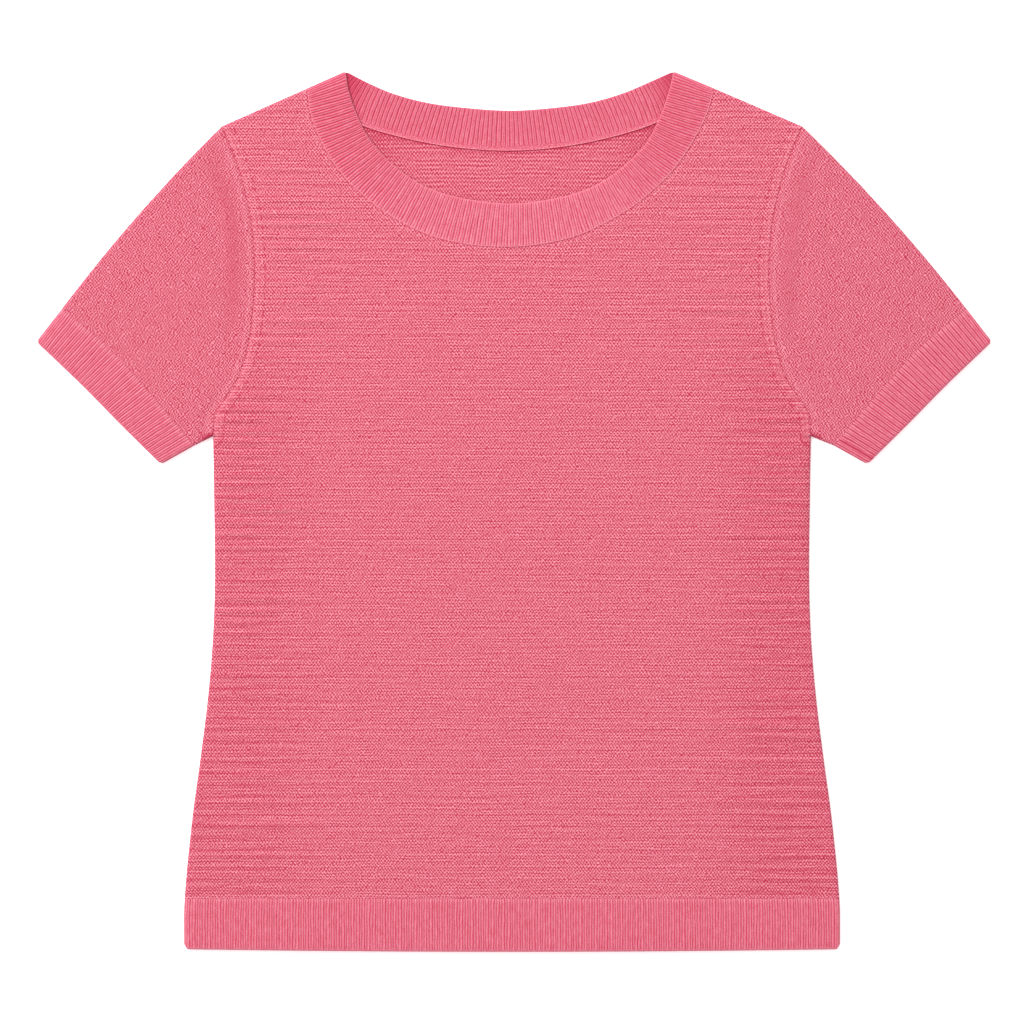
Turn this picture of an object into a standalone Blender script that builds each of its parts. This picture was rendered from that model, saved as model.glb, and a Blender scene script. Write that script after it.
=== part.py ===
"""Short-sleeved crew neck sweater in fine knit, laid flat with its front up.

The front lies on the back, one knit wall over the other, and the sleeves lie out to
the sides.  +X is the wearer's left, +Y runs from the hem to the neck, and +Z is up.
Sizes are in millimetres, and the meshes are written in metres.  "Across" is measured
from the centre line and "up" from the middle of the lower edge.
"""

import math
from collections import namedtuple

import bmesh
import bpy
from mathutils import Vector
from mathutils.geometry import interpolate_bezier

MM = 0.001

# Cloth and seams
KNIT_WALL = 1.6
LAYER_GAP = 1.0
SEAM_GAP = 0.3
NECK_CHORD_ROOM = 0.2

# Overall plan
LENGTH = 601.2
HEM_DEPTH = 36.2
HEM_BOW = 1.8
HEM_CORNER = 3.4
CUFF_CORNER = 3.0

# Ribs: their number on each face, and their relief
HEM_RIBS = 126
CUFF_RIBS = 35
NECK_FRONT_RIBS = 100
NECK_BACK_RIBS = 74
RIB_RISE = 0.6
BACK_RIB_RISE = 0.4
CREST_START = 0.2
CREST_END = 0.8

# The two layers lie against each other and turn into each other at every fold
FOLD_RADIUS = KNIT_WALL + LAYER_GAP / 2
INNER_RADIUS = LAYER_GAP / 2
FOLD_STEPS = 3
EDGE_TURN = math.pi / 4
SEAM_ANGLE = math.asin(SEAM_GAP / 2 / FOLD_RADIUS)
FRONT = 1
BACK = -1

Plan = namedtuple("Plan", "across up")

# Side seam, then the armhole seam from the armpit to the shoulder tip
SIDE_SEAM = (
    Plan(223.9, 0.0),
    Plan(223.5, 36.2),
    Plan(218.4, 90.0),
    Plan(212.9, 131.0),
    Plan(207.8, 172.0),
    Plan(204.3, 213.0),
    Plan(202.9, 254.0),
    Plan(203.4, 308.0),
    Plan(204.1, 352.0),
)
ARMHOLE_SEAM = (
    Plan(204.1, 352.0),
    Plan(202.4, 368.0),
    Plan(194.4, 380.0),
    Plan(186.6, 393.0),
    Plan(179.6, 417.0),
    Plan(176.3, 444.0),
    Plan(175.6, 470.0),
    Plan(178.1, 500.0),
    Plan(184.0, 526.0),
    Plan(190.2, 545.0),
    Plan(198.2, 563.6),
)

# Half necklines, from the centre out to the fold at the high neck point.  The neck
# lies a little towards the wearer's right, by the drift of each row's middle.
Neck = namedtuple("Neck", "across up drift")
NECK_FRONT_SEAM = (
    Neck(0.0, 481.6, -4.8),
    Neck(25.0, 483.4, -5.4),
    Neck(51.4, 489.8, -5.5),
    Neck(78.1, 503.1, -5.2),
    Neck(97.5, 517.3, -4.7),
    Neck(114.1, 534.1, -4.2),
    Neck(126.4, 553.2, -3.4),
    Neck(134.9, 572.1, -2.2),
    Neck(138.6, 589.7, -0.9),
)
NECK_FRONT_EDGE = (
    Neck(0.0, 510.9, -2.0),
    Neck(32.0, 514.6, -2.0),
    Neck(57.0, 522.4, -2.0),
    Neck(77.0, 535.6, -2.0),
    Neck(93.6, 552.5, -2.0),
    Neck(103.0, 570.0, -2.2),
    Neck(109.2, 587.5, -2.1),
    Neck(111.9, 601.2, -1.7),
)
NECK_BACK_SEAM = (
    Neck(0.0, 547.4, -2.6),
    Neck(24.0, 548.5, -3.2),
    Neck(47.0, 551.4, -3.8),
    Neck(72.0, 556.7, -4.0),
    Neck(97.0, 564.2, -4.2),
    Neck(119.5, 575.4, -2.8),
    Neck(138.6, 589.7, -0.9),
)
NECK_BACK_EDGE = (
    Neck(0.0, 574.4, -1.2),
    Neck(27.0, 576.0, -1.6),
    Neck(55.0, 579.7, -2.5),
    Neck(78.0, 586.0, -3.0),
    Neck(96.5, 593.8, -2.8),
    Neck(111.9, 601.2, -1.7),
)

# Cuff seam and cuff edge, from the sleeve's top fold to its underarm fold.  Both
# sleeves lie a little towards the wearer's left.
CUFF_SEAM = (
    Plan(308.9, 439.0),
    Plan(277.2, 412.7),
    Plan(253.0, 386.4),
    Plan(218.4, 345.6),
)
CUFF_EDGE = (
    Plan(326.3, 416.6),
    Plan(294.9, 386.6),
    Plan(269.9, 361.2),
    Plan(241.2, 332.8),
)
CUFF_DRIFT = 1.5
SLEEVE_TOP_BOW = 3.0

# Soft ridges that the cloth forms beside the side seams, from the armpit down
Ridge = namedtuple("Ridge", "up reach rise")
SIDE_RIDGES = (
    Ridge(346.0, 52.0, 0.6),
    Ridge(336.0, 38.0, 0.8),
    Ridge(327.0, 46.0, 0.5),
    Ridge(317.0, 34.0, 0.7),
    Ridge(305.0, 56.0, 0.6),
    Ridge(291.0, 40.0, 0.4),
)
RIDGE_HALF_WIDTH = 4.0

# Soft trough down the sleeve, beside the armhole seam
TROUGH_OFFSET = 11.0
TROUGH_HALF_WIDTH = 9.0
TROUGH_DEPTH = 0.7
TROUGH_LOW = 400.0
TROUGH_HIGH = 530.0

# Spacing of the wall points: heights of extra rows, rows between the armhole's corners
# beside the neck, and shares of a row from the centre to the fold
PanelRows = namedtuple("PanelRows", "finer fan_steps columns")
CURVE_STEPS = 24
FRONT_COLUMNS = (0.0, 0.2, 0.4, 0.58, 0.72, 0.84, 0.93)
BACK_COLUMNS = (0.0, 0.3, 0.6, 0.85)
BODY_ROW_STEP = 40.0
LEAST_ROW_STEP = 10.0
BELOW_ARMPIT = 0.01
FRONT_FAN_STEPS = 3
BACK_FAN_STEPS = 13
ARMHOLE_SHARES = (0.0, 0.045, 0.09, 0.13, 0.18, 0.25, 0.34, 0.44, 0.54, 0.64, 0.76, 0.88, 1.0)
SLEEVE_RINGS = (0.0, 0.05, 0.1, 0.16, 0.24, 0.38, 0.58, 0.79, 1.0)
PLAIN_RIB_POINTS = 8


class Curve:
    """A smooth plan curve through a few points, read by the share of its length."""

    def __init__(self, rows):
        knots = [Vector(row) for row in rows]
        padded = [2 * knots[0] - knots[1], *knots, 2 * knots[-1] - knots[-2]]
        self.points = [knots[0]]
        for before, start, end, after in zip(padded, padded[1:], padded[2:], padded[3:]):
            third = (end - start).length / 3
            leave = start + (end - before).normalized() * third
            arrive = end - (after - start).normalized() * third
            self.points += interpolate_bezier(start, leave, arrive, end, CURVE_STEPS)[1:]
        self.measure()

    def measure(self):
        self.reach = [0.0]
        for start, end in zip(self.points, self.points[1:]):
            self.reach.append(self.reach[-1] + (end - start).length)
        self.length = self.reach[-1]

    def at(self, share):
        """The point at a share of the curve's length."""
        target = min(max(share, 0.0), 1.0) * self.length
        for index in range(1, len(self.points)):
            if self.reach[index] >= target:
                break
        span = self.reach[index] - self.reach[index - 1]
        return self.points[index - 1].lerp(self.points[index], (target - self.reach[index - 1]) / span)

    def at_up(self, up):
        """The point at a height, on a curve that climbs all the way."""
        for start, end in zip(self.points, self.points[1:]):
            if end.y >= up:
                break
        return start.lerp(end, (up - start.y) / (end.y - start.y))

    @classmethod
    def through(cls, points):
        """Makes a curve of straight runs between points."""
        curve = cls.__new__(cls)
        curve.points = points
        curve.measure()
        return curve

    def moved(self, offset):
        """The same curve, moved sideways to its right by an offset."""
        last = len(self.points) - 1
        points = []
        for index, point in enumerate(self.points):
            along = self.points[min(index + 1, last)] - self.points[max(index - 1, 0)]
            points.append(point + Vector((along.y, -along.x)).normalized() * offset)
        return self.through(points)

    def straightened(self, shares):
        """Straight runs between the curve's points at these shares, so that two pieces
        that meet along it have the same corners."""
        return self.through([self.at(share) for share in shares])


def neckline(half_rows):
    """The whole neckline, from the wearer's right to the left."""
    right = [Plan(row.drift - row.across, row.up) for row in reversed(half_rows[1:])]
    return Curve(right + [Plan(row.drift + row.across, row.up) for row in half_rows])


def at_height(plan, height):
    """A point of the garment, centred between its ends, in millimetres."""
    return (plan.x - CUFF_DRIFT, plan.y - LENGTH / 2, height)


def layer_point(plan, layer, lift=0.0):
    """The outer and the inner point of one layer's wall."""
    outer = at_height(plan, FOLD_RADIUS + layer * FOLD_RADIUS + lift)
    inner = at_height(plan, FOLD_RADIUS + layer * INNER_RADIUS + lift)
    return outer, inner


def fold_point(centre, edge, angle):
    """The outer and the inner point of the wall where it turns round a folded edge."""
    reach = math.cos(angle)
    rise = math.sin(angle)
    outer = at_height(centre.lerp(edge, reach), FOLD_RADIUS * (1 + rise))
    inner_plan = centre.lerp(edge, reach * INNER_RADIUS / FOLD_RADIUS)
    return outer, at_height(inner_plan, FOLD_RADIUS + INNER_RADIUS * rise)


def fold_angles(layer):
    """Angles from the flat of a layer to the seam in the middle of a folded edge."""
    turn = math.pi / 2 - SEAM_ANGLE
    return [layer * (math.pi / 2 - turn * step / FOLD_STEPS) for step in range(1, FOLD_STEPS + 1)]


def knit_material(name, colour):
    material = bpy.data.materials.new(name)
    material.use_nodes = True
    material.diffuse_color = (*colour, 1.0)
    shader = material.node_tree.nodes["Principled BSDF"]
    shader.inputs["Base Color"].default_value = (*colour, 1.0)
    shader.inputs["Roughness"].default_value = 0.9
    shader.inputs["Metallic"].default_value = 0.0
    return material


def closed_wall(name, sheets, colour):
    """Makes one closed body of sheets, each a list of rows of outer and inner points.

    Points that fall together are one, so sheets that share an edge are joined there,
    and every edge that is left open gets a rim from the outer to the inner side.
    """
    mesh = bmesh.new()
    corners = {}

    def corner(point):
        key = tuple(round(value, 4) for value in point)
        if key not in corners:
            corners[key] = mesh.verts.new([value * MM for value in key])
        return corners[key]

    def face(points):
        ring = list(dict.fromkeys(corner(point) for point in points))
        if len(ring) > 2:
            mesh.faces.new(ring)

    open_edges = {}
    for rows in sheets:
        for row, next_row in zip(rows, rows[1:]):
            for near, far, next_far, next_near in zip(row, row[1:], next_row[1:], next_row):
                cell = (near, far, next_far, next_near)
                face([outer for outer, _ in cell])
                face([inner for _, inner in cell])
                for start, end in zip(cell, (far, next_far, next_near, near)):
                    edge = frozenset(tuple(corner(point) for point in pair) for pair in (start, end))
                    if edge in open_edges:
                        del open_edges[edge]
                    else:
                        open_edges[edge] = (start, end)
    for start, end in open_edges.values():
        face([start[0], end[0], end[1], start[1]])
    bmesh.ops.recalc_face_normals(mesh, faces=mesh.faces)
    data = bpy.data.meshes.new(name)
    mesh.to_mesh(data)
    mesh.free()
    data.shade_smooth()
    data.set_sharp_from_angle(angle=math.radians(40))
    data.materials.append(knit_material(name, colour))
    bpy.context.collection.objects.link(bpy.data.objects.new(name, data))


def rib_points(line, ribs, layer, rise):
    """Wall points along a ribbed run, whose upward side has a groove and a crest a rib.

    The side away from the ribs is plain, with one point a rib.  The relief dies away
    in the first and the last two ribs, where the run meets a fold.
    """
    points = []
    for rib in range(ribs + 1):
        for raised, plain, height in ((0, 0, 0), (CREST_START, 0, rise), (CREST_END, 1, rise)):
            fade = min(1.0, (rib + 0.5) / 2, (ribs - rib - 0.5) / 2)
            upward = line((rib + raised) / ribs)
            downward = line((rib + plain) / ribs)
            if layer == FRONT:
                outer, _ = layer_point(upward, layer, height * fade)
                _, inner = layer_point(downward, layer)
            else:
                outer, _ = layer_point(downward, layer)
                _, inner = layer_point(upward, layer, height * fade)
            points.append((outer, inner))
            if rib == ribs:
                return points
    return points


def side_lift(plan):
    """Height of the soft ridges beside the side seams, at a point of the front."""
    inset = SIDE.at_up(plan.y).x - plan.x if plan.y < ARMPIT_UP else plan.x
    lift = 0.0
    for ridge in SIDE_RIDGES:
        along = 1 - inset / ridge.reach
        offset = abs(plan.y - ridge.up) / RIDGE_HALF_WIDTH
        if along > 0 and offset < 1:
            lift += ridge.rise * math.sin(math.pi * along) ** 0.5 * math.cos(math.pi / 2 * offset) ** 2
    return lift


def body_heights(neck_low, finer):
    """Heights of a panel's rows below its neckline: even up to the armpit, closer where
    the cloth is ridged, and then at the corners of the armhole."""
    bottom = HEM_DEPTH + SEAM_GAP / 2
    rows = round((ARMPIT_UP - bottom) / BODY_ROW_STEP)
    even = [bottom + (ARMPIT_UP - bottom) * row / rows for row in range(rows)]
    if finer:
        even = [up for up in even if up < min(finer) - LEAST_ROW_STEP]
    corners = [corner.y for corner in ARMHOLE.points[1:] if corner.y < neck_low]
    return sorted([*even, *finer, ARMPIT_UP - BELOW_ARMPIT, *corners, neck_low])


def panel_rows(neck, spacing):
    """Plan rows of half a panel: across the body, then fanned between neck and armhole.

    The neck is read from its middle out to the shoulder on the wearer's left.
    """
    middle = neck.at(0.5)
    rows = []
    for up in body_heights(middle.y, spacing.finer):
        outline = SIDE if up < ARMPIT_UP else ARMHOLE
        rows.append((Vector((middle.x, up)), outline.at_up(up)))
    shoulder_low = ARMHOLE.at(1 - FOLD_RADIUS / ARMHOLE.length).y
    corners = [middle.y] + [corner.y for corner in ARMHOLE.points[:-1] if corner.y > middle.y]
    corners.append(shoulder_low)
    heights = []
    steps = spacing.fan_steps
    for low, high in zip(corners, corners[1:]):
        heights += [low + (high - low) * step / steps for step in range(1, steps + 1)]
    last_share = 1 - FOLD_RADIUS / (neck.length / 2)
    for index, up in enumerate(heights, 1):
        share = last_share * index / len(heights)
        rows.append((neck.at(0.5 + share / 2), ARMHOLE.at_up(up)))
    neck_point, tip = neck.at(1.0), ARMHOLE.points[-1]
    rows.append((neck_point + (tip - neck_point).normalized() * SEAM_GAP, tip))
    return rows


def half_panel(layer, neck, spacing, lift):
    """Wall points of the half of a panel on the wearer's left, turned at side and shoulder."""
    grid = []
    for start, end in panel_rows(neck, spacing):
        centre = end - (end - start).normalized() * FOLD_RADIUS
        plans = [start.lerp(centre, share) for share in spacing.columns] + [centre]
        turned = [centre.lerp(end, math.cos(angle)) for angle in fold_angles(layer)]
        grid.append((plans, turned, centre, end))
    rows = []
    for plans, turned, centre, end in grid[:-1]:
        row = [layer_point(plan, layer, lift(plan)) for plan in plans]
        if end.y < ARMPIT_UP:
            row += [fold_point(centre, end, angle) for angle in fold_angles(layer)]
        else:
            row += [layer_point(plan, layer) for plan in turned]
        rows.append(row)
    shoulder_centre = grid[-2][0] + grid[-2][1]
    shoulder_edge = grid[-1][0] + grid[-1][1]
    for angle in fold_angles(layer):
        pairs = zip(shoulder_centre, shoulder_edge)
        rows.append([fold_point(centre, edge, angle) for centre, edge in pairs])
    return rows


def mirrored(rows):
    """The same wall points on the wearer's right."""
    return [[tuple((-x - 2 * CUFF_DRIFT, y, z) for x, y, z in pair) for pair in row] for row in rows]


def panel(name, layer, neck, spacing, colour, lift=lambda plan: 0.0):
    """A body panel: plain rims at hem, neck and armholes, turned edges at side and shoulder."""
    left = half_panel(layer, neck, spacing, lift)
    other_neck = Curve.through([Vector((-point.x, point.y)) for point in reversed(neck.points)])
    right = mirrored(half_panel(layer, other_neck, spacing, lift))
    closed_wall(name, [left, right], colour)


def ring_row(top, underarm, upper, lower):
    """One ring round a flattened tube: upper face, underarm fold, lower face, top fold."""
    ring = list(upper)
    ring += [fold_point(*underarm, angle) for angle in (EDGE_TURN, 0.0, -EDGE_TURN)]
    ring += lower
    ring += [fold_point(*top, angle) for angle in (-EDGE_TURN, 0.0, EDGE_TURN)]
    return ring + [ring[0]]


def cuff_line(rows, hand):
    """A line across the cuff, on the wearer's left, or on the right before it is mirrored."""
    return Curve([Plan(row.across + hand * CUFF_DRIFT, row.up) for row in rows])


def sleeve_plan(around, along, cuff_seam):
    """A point of the sleeve's plan: from the top fold round to the underarm, and from
    the armhole along to the cuff, blended from the four edges of the sleeve."""
    armhole = SLEEVE_ARMHOLE.at(1 - around)
    cuff = cuff_seam.at(around)
    top_start, top_end = SLEEVE_ARMHOLE.at(1.0), cuff_seam.at(0.0)
    low_start, low_end = SLEEVE_ARMHOLE.at(0.0), cuff_seam.at(1.0)
    top_line = top_end - top_start
    outward = Vector((-top_line.y, top_line.x)).normalized()
    bow = outward * (4 * SLEEVE_TOP_BOW * along * (1 - along))
    top = top_start.lerp(top_end, along) + bow
    underarm = low_start.lerp(low_end, along)
    across = armhole.lerp(cuff, along)
    edges = top.lerp(underarm, around)
    corners = top_start.lerp(low_start, around).lerp(top_end.lerp(low_end, around), along)
    return across + edges - corners


def sleeve_lift(plan):
    """Depth of the soft trough on the sleeve's upper face, as a lift below zero."""
    if not TROUGH_LOW < plan.y < TROUGH_HIGH:
        return 0.0
    offset = abs(plan.x - ARMHOLE.at_up(plan.y).x - TROUGH_OFFSET) / TROUGH_HALF_WIDTH
    if offset >= 1:
        return 0.0
    fade = math.sin(math.pi * (plan.y - TROUGH_LOW) / (TROUGH_HIGH - TROUGH_LOW))
    return -TROUGH_DEPTH * fade * math.cos(math.pi / 2 * offset) ** 2


def sleeve(name, hand, colour):
    """A short set-in sleeve: a flattened tube, open at the armhole and at the cuff."""
    cuff_seam = cuff_line(CUFF_SEAM, hand).moved(SEAM_GAP)
    corners = [1 - reach / SLEEVE_ARMHOLE.length for reach in reversed(SLEEVE_ARMHOLE.reach)]
    rows = []
    for along in SLEEVE_RINGS:
        high, low = sleeve_plan(0.0, along, cuff_seam), sleeve_plan(1.0, along, cuff_seam)
        inset = FOLD_RADIUS / (high - low).length
        shares = [min(max(share, inset), 1 - inset) for share in corners]
        plans = [sleeve_plan(share, along, cuff_seam) for share in shares]
        upper = [layer_point(plan, FRONT, sleeve_lift(plan)) for plan in plans]
        lower = [layer_point(plan, BACK) for plan in reversed(plans)]
        rows.append(ring_row((plans[0], high), (plans[-1], low), upper, lower))
    closed_wall(name, [rows if hand > 0 else mirrored(rows)], colour)


def between_folds(curve):
    """Reads a curve by share, leaving out the fold's radius at both ends."""
    inset = FOLD_RADIUS / curve.length
    return lambda share: curve.at(inset + (1 - 2 * inset) * share)


def cuff(name, hand, colour):
    """A rib cuff: a flattened ring with ribs on its upper face, its edge's corners rounded."""
    seam = cuff_line(CUFF_SEAM, hand)
    edge = cuff_line(CUFF_EDGE, hand)
    rounding = (seam.at(0.5) - edge.at(0.5)).normalized() * CUFF_CORNER / 2
    rows = []
    for curve, back_in in ((seam, Vector((0.0, 0.0))), (edge, rounding)):
        line = between_folds(curve)
        upper = rib_points(line, CUFF_RIBS, FRONT, RIB_RISE)
        lower = []
        for step in range(PLAIN_RIB_POINTS + 1):
            lower.append(layer_point(line(1 - step / PLAIN_RIB_POINTS), BACK))
        top = (line(0.0), curve.at(0.0) + back_in)
        underarm = (line(1.0), curve.at(1.0) + back_in)
        rows.append(ring_row(top, underarm, upper, lower))
    closed_wall(name, [rows if hand > 0 else mirrored(rows)], colour)


def fold_turn(front_centre, back_centre, edge):
    """Wall points round the fold at a high neck point, from the front half to the back."""
    middle = front_centre.lerp(back_centre, 0.5)
    turns = ((front_centre, EDGE_TURN), (middle, 0.0), (back_centre, -EDGE_TURN))
    return [fold_point(centre, edge, angle) for centre, angle in turns]


def neckband(name, colour):
    """The rib band: its front half on the front, its back half on the back, folded over
    at both high neck points.  The ribs that face up are raised on both halves."""
    rows = []
    for front, back in (
        (neckline(NECK_FRONT_SEAM), neckline(NECK_BACK_SEAM)),
        (neckline(NECK_FRONT_EDGE), neckline(NECK_BACK_EDGE)),
    ):
        front_line = between_folds(front)
        back_line = between_folds(Curve.through(back.points[::-1]))
        left_turn = fold_turn(front_line(1.0), back_line(0.0), front.at(1.0))
        right_turn = fold_turn(front_line(0.0), back_line(1.0), front.at(0.0))
        ring = rib_points(front_line, NECK_FRONT_RIBS, FRONT, RIB_RISE) + left_turn
        ring += rib_points(back_line, NECK_BACK_RIBS, BACK, BACK_RIB_RISE) + right_turn[::-1]
        rows.append(ring + [ring[0]])
    closed_wall(name, [rows], colour)


def lower_edge(across, half_width):
    """Height of the hem's lower edge: a slight bow, rounded up at its corners."""
    inset = max(0.0, HEM_CORNER - (half_width - abs(across)))
    rounding = HEM_CORNER - math.sqrt(HEM_CORNER**2 - min(inset, HEM_CORNER) ** 2)
    return HEM_BOW * (across / half_width) ** 2 + rounding


def hem(name, layer, colour):
    """A rib welt along one panel's lower edge, turned at its sides."""
    rows = []
    for level in (HEM_DEPTH - SEAM_GAP / 2, 0.0):
        half = SIDE.at_up(level).x
        flat = half - FOLD_RADIUS

        def spot(across, level=level, half=half):
            up = level if level else lower_edge(across, half)
            return Vector((across, up))

        def line(share, flat=flat, spot=spot):
            return spot(flat * (2 * share - 1))

        if layer == FRONT:
            run = rib_points(line, HEM_RIBS, FRONT, RIB_RISE)
        else:
            steps = range(PLAIN_RIB_POINTS + 1)
            run = [layer_point(line(step / PLAIN_RIB_POINTS), BACK) for step in steps]
        turns = [fold_point(spot(flat), spot(half), angle) for angle in fold_angles(layer)]
        others = [fold_point(spot(-flat), spot(-half), angle) for angle in fold_angles(layer)]
        rows.append(others[::-1] + run + turns)
    closed_wall(name, [rows], colour)


def ridge_heights():
    """Heights of the rows that the side ridges need: their crests, and the feet between."""
    crests = [ridge.up for ridge in SIDE_RIDGES]
    feet = [(high + low) / 2 for high, low in zip(crests, crests[1:])]
    return [crests[-1] - RIDGE_HALF_WIDTH, *feet, *crests]


SIDE = Curve(SIDE_SEAM)
ARMHOLE = Curve(ARMHOLE_SEAM).straightened(ARMHOLE_SHARES)
ARMPIT_UP = ARMHOLE_SEAM[0].up
SLEEVE_ARMHOLE = ARMHOLE.moved(SEAM_GAP)

BODY_PINK = (0.80, 0.17, 0.24)
SLEEVE_PINK = (0.81, 0.19, 0.27)
RIB_PINK = (0.84, 0.19, 0.27)
HEM_PINK = (0.79, 0.16, 0.23)


def main():
    for item in list(bpy.data.objects):
        bpy.data.objects.remove(item)
    front_neck = neckline(NECK_FRONT_SEAM).moved(SEAM_GAP + NECK_CHORD_ROOM)
    back_neck = neckline(NECK_BACK_SEAM).moved(SEAM_GAP + NECK_CHORD_ROOM)
    front_rows = PanelRows(ridge_heights(), FRONT_FAN_STEPS, FRONT_COLUMNS)
    back_rows = PanelRows((), BACK_FAN_STEPS, BACK_COLUMNS)
    panel("front", FRONT, front_neck, front_rows, BODY_PINK, side_lift)
    panel("back", BACK, back_neck, back_rows, BODY_PINK)
    for name, hand in (("left", 1), ("right", -1)):
        sleeve(f"sleeve_{name}", hand, SLEEVE_PINK)
        cuff(f"cuff_{name}", hand, RIB_PINK)
    neckband("neckband", RIB_PINK)
    hem("hem_front", FRONT, HEM_PINK)
    hem("hem_back", BACK, HEM_PINK)


main()
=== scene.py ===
"""Short-sleeved crew neck sweater in fine pink knit, laid flat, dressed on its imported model.

Each knit piece is a thin closed shell on its solid's form: the same plan curves in
millimetres, with finer points, rounded ribs and soft creases.  +X is the wearer's
left, +Y runs from the hem to the neck, and +Z is up.  "Across" is measured from the
centre line and "up" from the middle of the lower edge.
"""

import math
from collections import namedtuple

import bpy
import numpy as np
from bpy.props import FloatProperty, FloatVectorProperty, PointerProperty
from bpy.types import Operator, Panel, PropertyGroup
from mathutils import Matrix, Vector
from mathutils.geometry import interpolate_bezier


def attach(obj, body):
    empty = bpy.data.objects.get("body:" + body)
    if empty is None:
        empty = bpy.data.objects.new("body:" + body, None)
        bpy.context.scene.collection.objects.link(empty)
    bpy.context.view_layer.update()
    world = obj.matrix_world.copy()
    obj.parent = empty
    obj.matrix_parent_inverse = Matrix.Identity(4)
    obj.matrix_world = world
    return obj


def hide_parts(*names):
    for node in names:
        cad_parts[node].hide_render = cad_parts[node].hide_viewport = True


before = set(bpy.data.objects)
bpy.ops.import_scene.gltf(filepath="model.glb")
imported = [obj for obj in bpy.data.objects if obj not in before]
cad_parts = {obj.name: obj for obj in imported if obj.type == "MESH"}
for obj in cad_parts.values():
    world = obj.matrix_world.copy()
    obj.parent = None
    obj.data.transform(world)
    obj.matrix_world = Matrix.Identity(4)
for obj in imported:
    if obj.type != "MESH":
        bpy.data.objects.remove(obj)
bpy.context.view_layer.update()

bl_info = {
    "name": "Crew Neck Sweater",
    "version": (1, 0, 0),
    "blender": (4, 5, 0),
    "location": "3D View > Sidebar > Sweater",
    "description": "Builds a short-sleeved crew neck sweater in fine knit, laid flat",
    "category": "Add Mesh",
}

MM = 0.001

# Cloth and seams, in millimetres
KNIT_WALL = 1.6
LAYER_GAP = 1.0
SEAM_GAP = 0.03
FOLD_RADIUS = KNIT_WALL + LAYER_GAP / 2
INNER_RADIUS = LAYER_GAP / 2
SEAM_ANGLE = math.asin(SEAM_GAP / 2 / FOLD_RADIUS)

# The layers, and the wearer's sides with their sign across
FRONT = 1
BACK = -1
HANDS = (("left", 1), ("right", -1))

# Overall plan
LENGTH = 601.2
HEM_DEPTH = 36.2
HEM_BOW = 1.8
HEM_CORNER = 3.4
CUFF_CORNER = 3.0
NECK_CORNER = 2.4
NECK_DEPTH = 29.0
CUFF_DRIFT = 1.5
SLEEVE_TOP_BOW = 3.0

# How far the neckband's ribs fan out near the shoulders, and how upright the back's are
FRONT_FAN = 0.37
BACK_FAN = -0.55
BACK_UPRIGHT = 0.07

# Ribs on each face and round a fold, over how many the relief fades out at each end, and
# the points that carry one rib's rounded relief
HEM_RIBS = 126
CUFF_RIBS = 37
NECK_FRONT_RIBS = 100
NECK_BACK_RIBS = 84
FOLD_RIBS = 2
END_RIBS = 1.5
RIB_STEPS = (0.0, 0.07, 0.16, 0.27, 0.39, 0.5, 0.61, 0.73, 0.84, 0.93)
GROOVE_WIDTH = 0.15
CREASE_WIDTH = 0.09
CREASE_DEPTH = 0.28


def table(kind, *rows):
    """Rows of numbers as points or forms with named parts."""
    return tuple(kind(*row) for row in rows)


Plan = namedtuple("Plan", "across up")
SIDE_SEAM = table(
    Plan,
    (223.9, 0), (223.5, 36.2), (218.4, 90), (212.9, 131), (207.8, 172), (204.3, 213),
    (202.9, 254), (203.4, 308), (204.1, 352),
)
ARMHOLE_SEAM = table(
    Plan,
    (204.1, 352), (202.4, 368), (194.4, 380), (186.6, 393), (179.6, 417), (176.3, 444),
    (175.6, 470), (178.1, 500), (184, 526), (190.2, 545), (198.2, 563.6),
)
ARMPIT_UP = ARMHOLE_SEAM[0].up

# Half necklines, from the centre out to the high neck point.  The neck lies a little
# towards the wearer's right, by the drift of each row's middle.
Neck = namedtuple("Neck", "across up drift")
NECK_FRONT_SEAM = table(
    Neck,
    (0, 481.6, -4.8), (25, 483.4, -5.4), (51.4, 489.8, -5.5), (78.1, 503.1, -5.2),
    (97.5, 517.3, -4.7), (114.1, 534.1, -4.2), (126.4, 553.2, -3.4), (134.9, 572.1, -2.2),
    (138.6, 589.7, -0.9),
)
NECK_FRONT_EDGE = table(
    Neck,
    (0, 510.9, -2), (32, 514.6, -2), (57, 522.4, -2), (77, 535.6, -2), (93.6, 552.5, -2),
    (103, 570, -2.2), (109.2, 587.5, -2.1), (111.9, 601.2, -1.7),
)
NECK_BACK_SEAM = table(
    Neck,
    (0, 547.4, -2.6), (24, 548.5, -3.2), (47, 551.4, -3.8), (72, 556.7, -4),
    (97, 564.2, -4.2), (119.5, 575.4, -2.8), (138.6, 589.7, -0.9),
)
NECK_BACK_EDGE = table(
    Neck,
    (0, 574.4, -1.2), (27, 576, -1.6), (55, 579.7, -2.5), (78, 586, -3),
    (96.5, 593.8, -2.8), (111.9, 601.2, -1.7),
)

# Cuff seam and cuff edge, from the sleeve's top fold to its underarm fold
CUFF_SEAM = table(
    Plan,
    (308.9, 439), (277.2, 412.7), (253, 386.4), (218.4, 345.6),
)
CUFF_EDGE = table(
    Plan,
    (326.3, 416.6), (294.9, 386.6), (269.9, 361.2), (241.2, 332.8),
)

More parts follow.
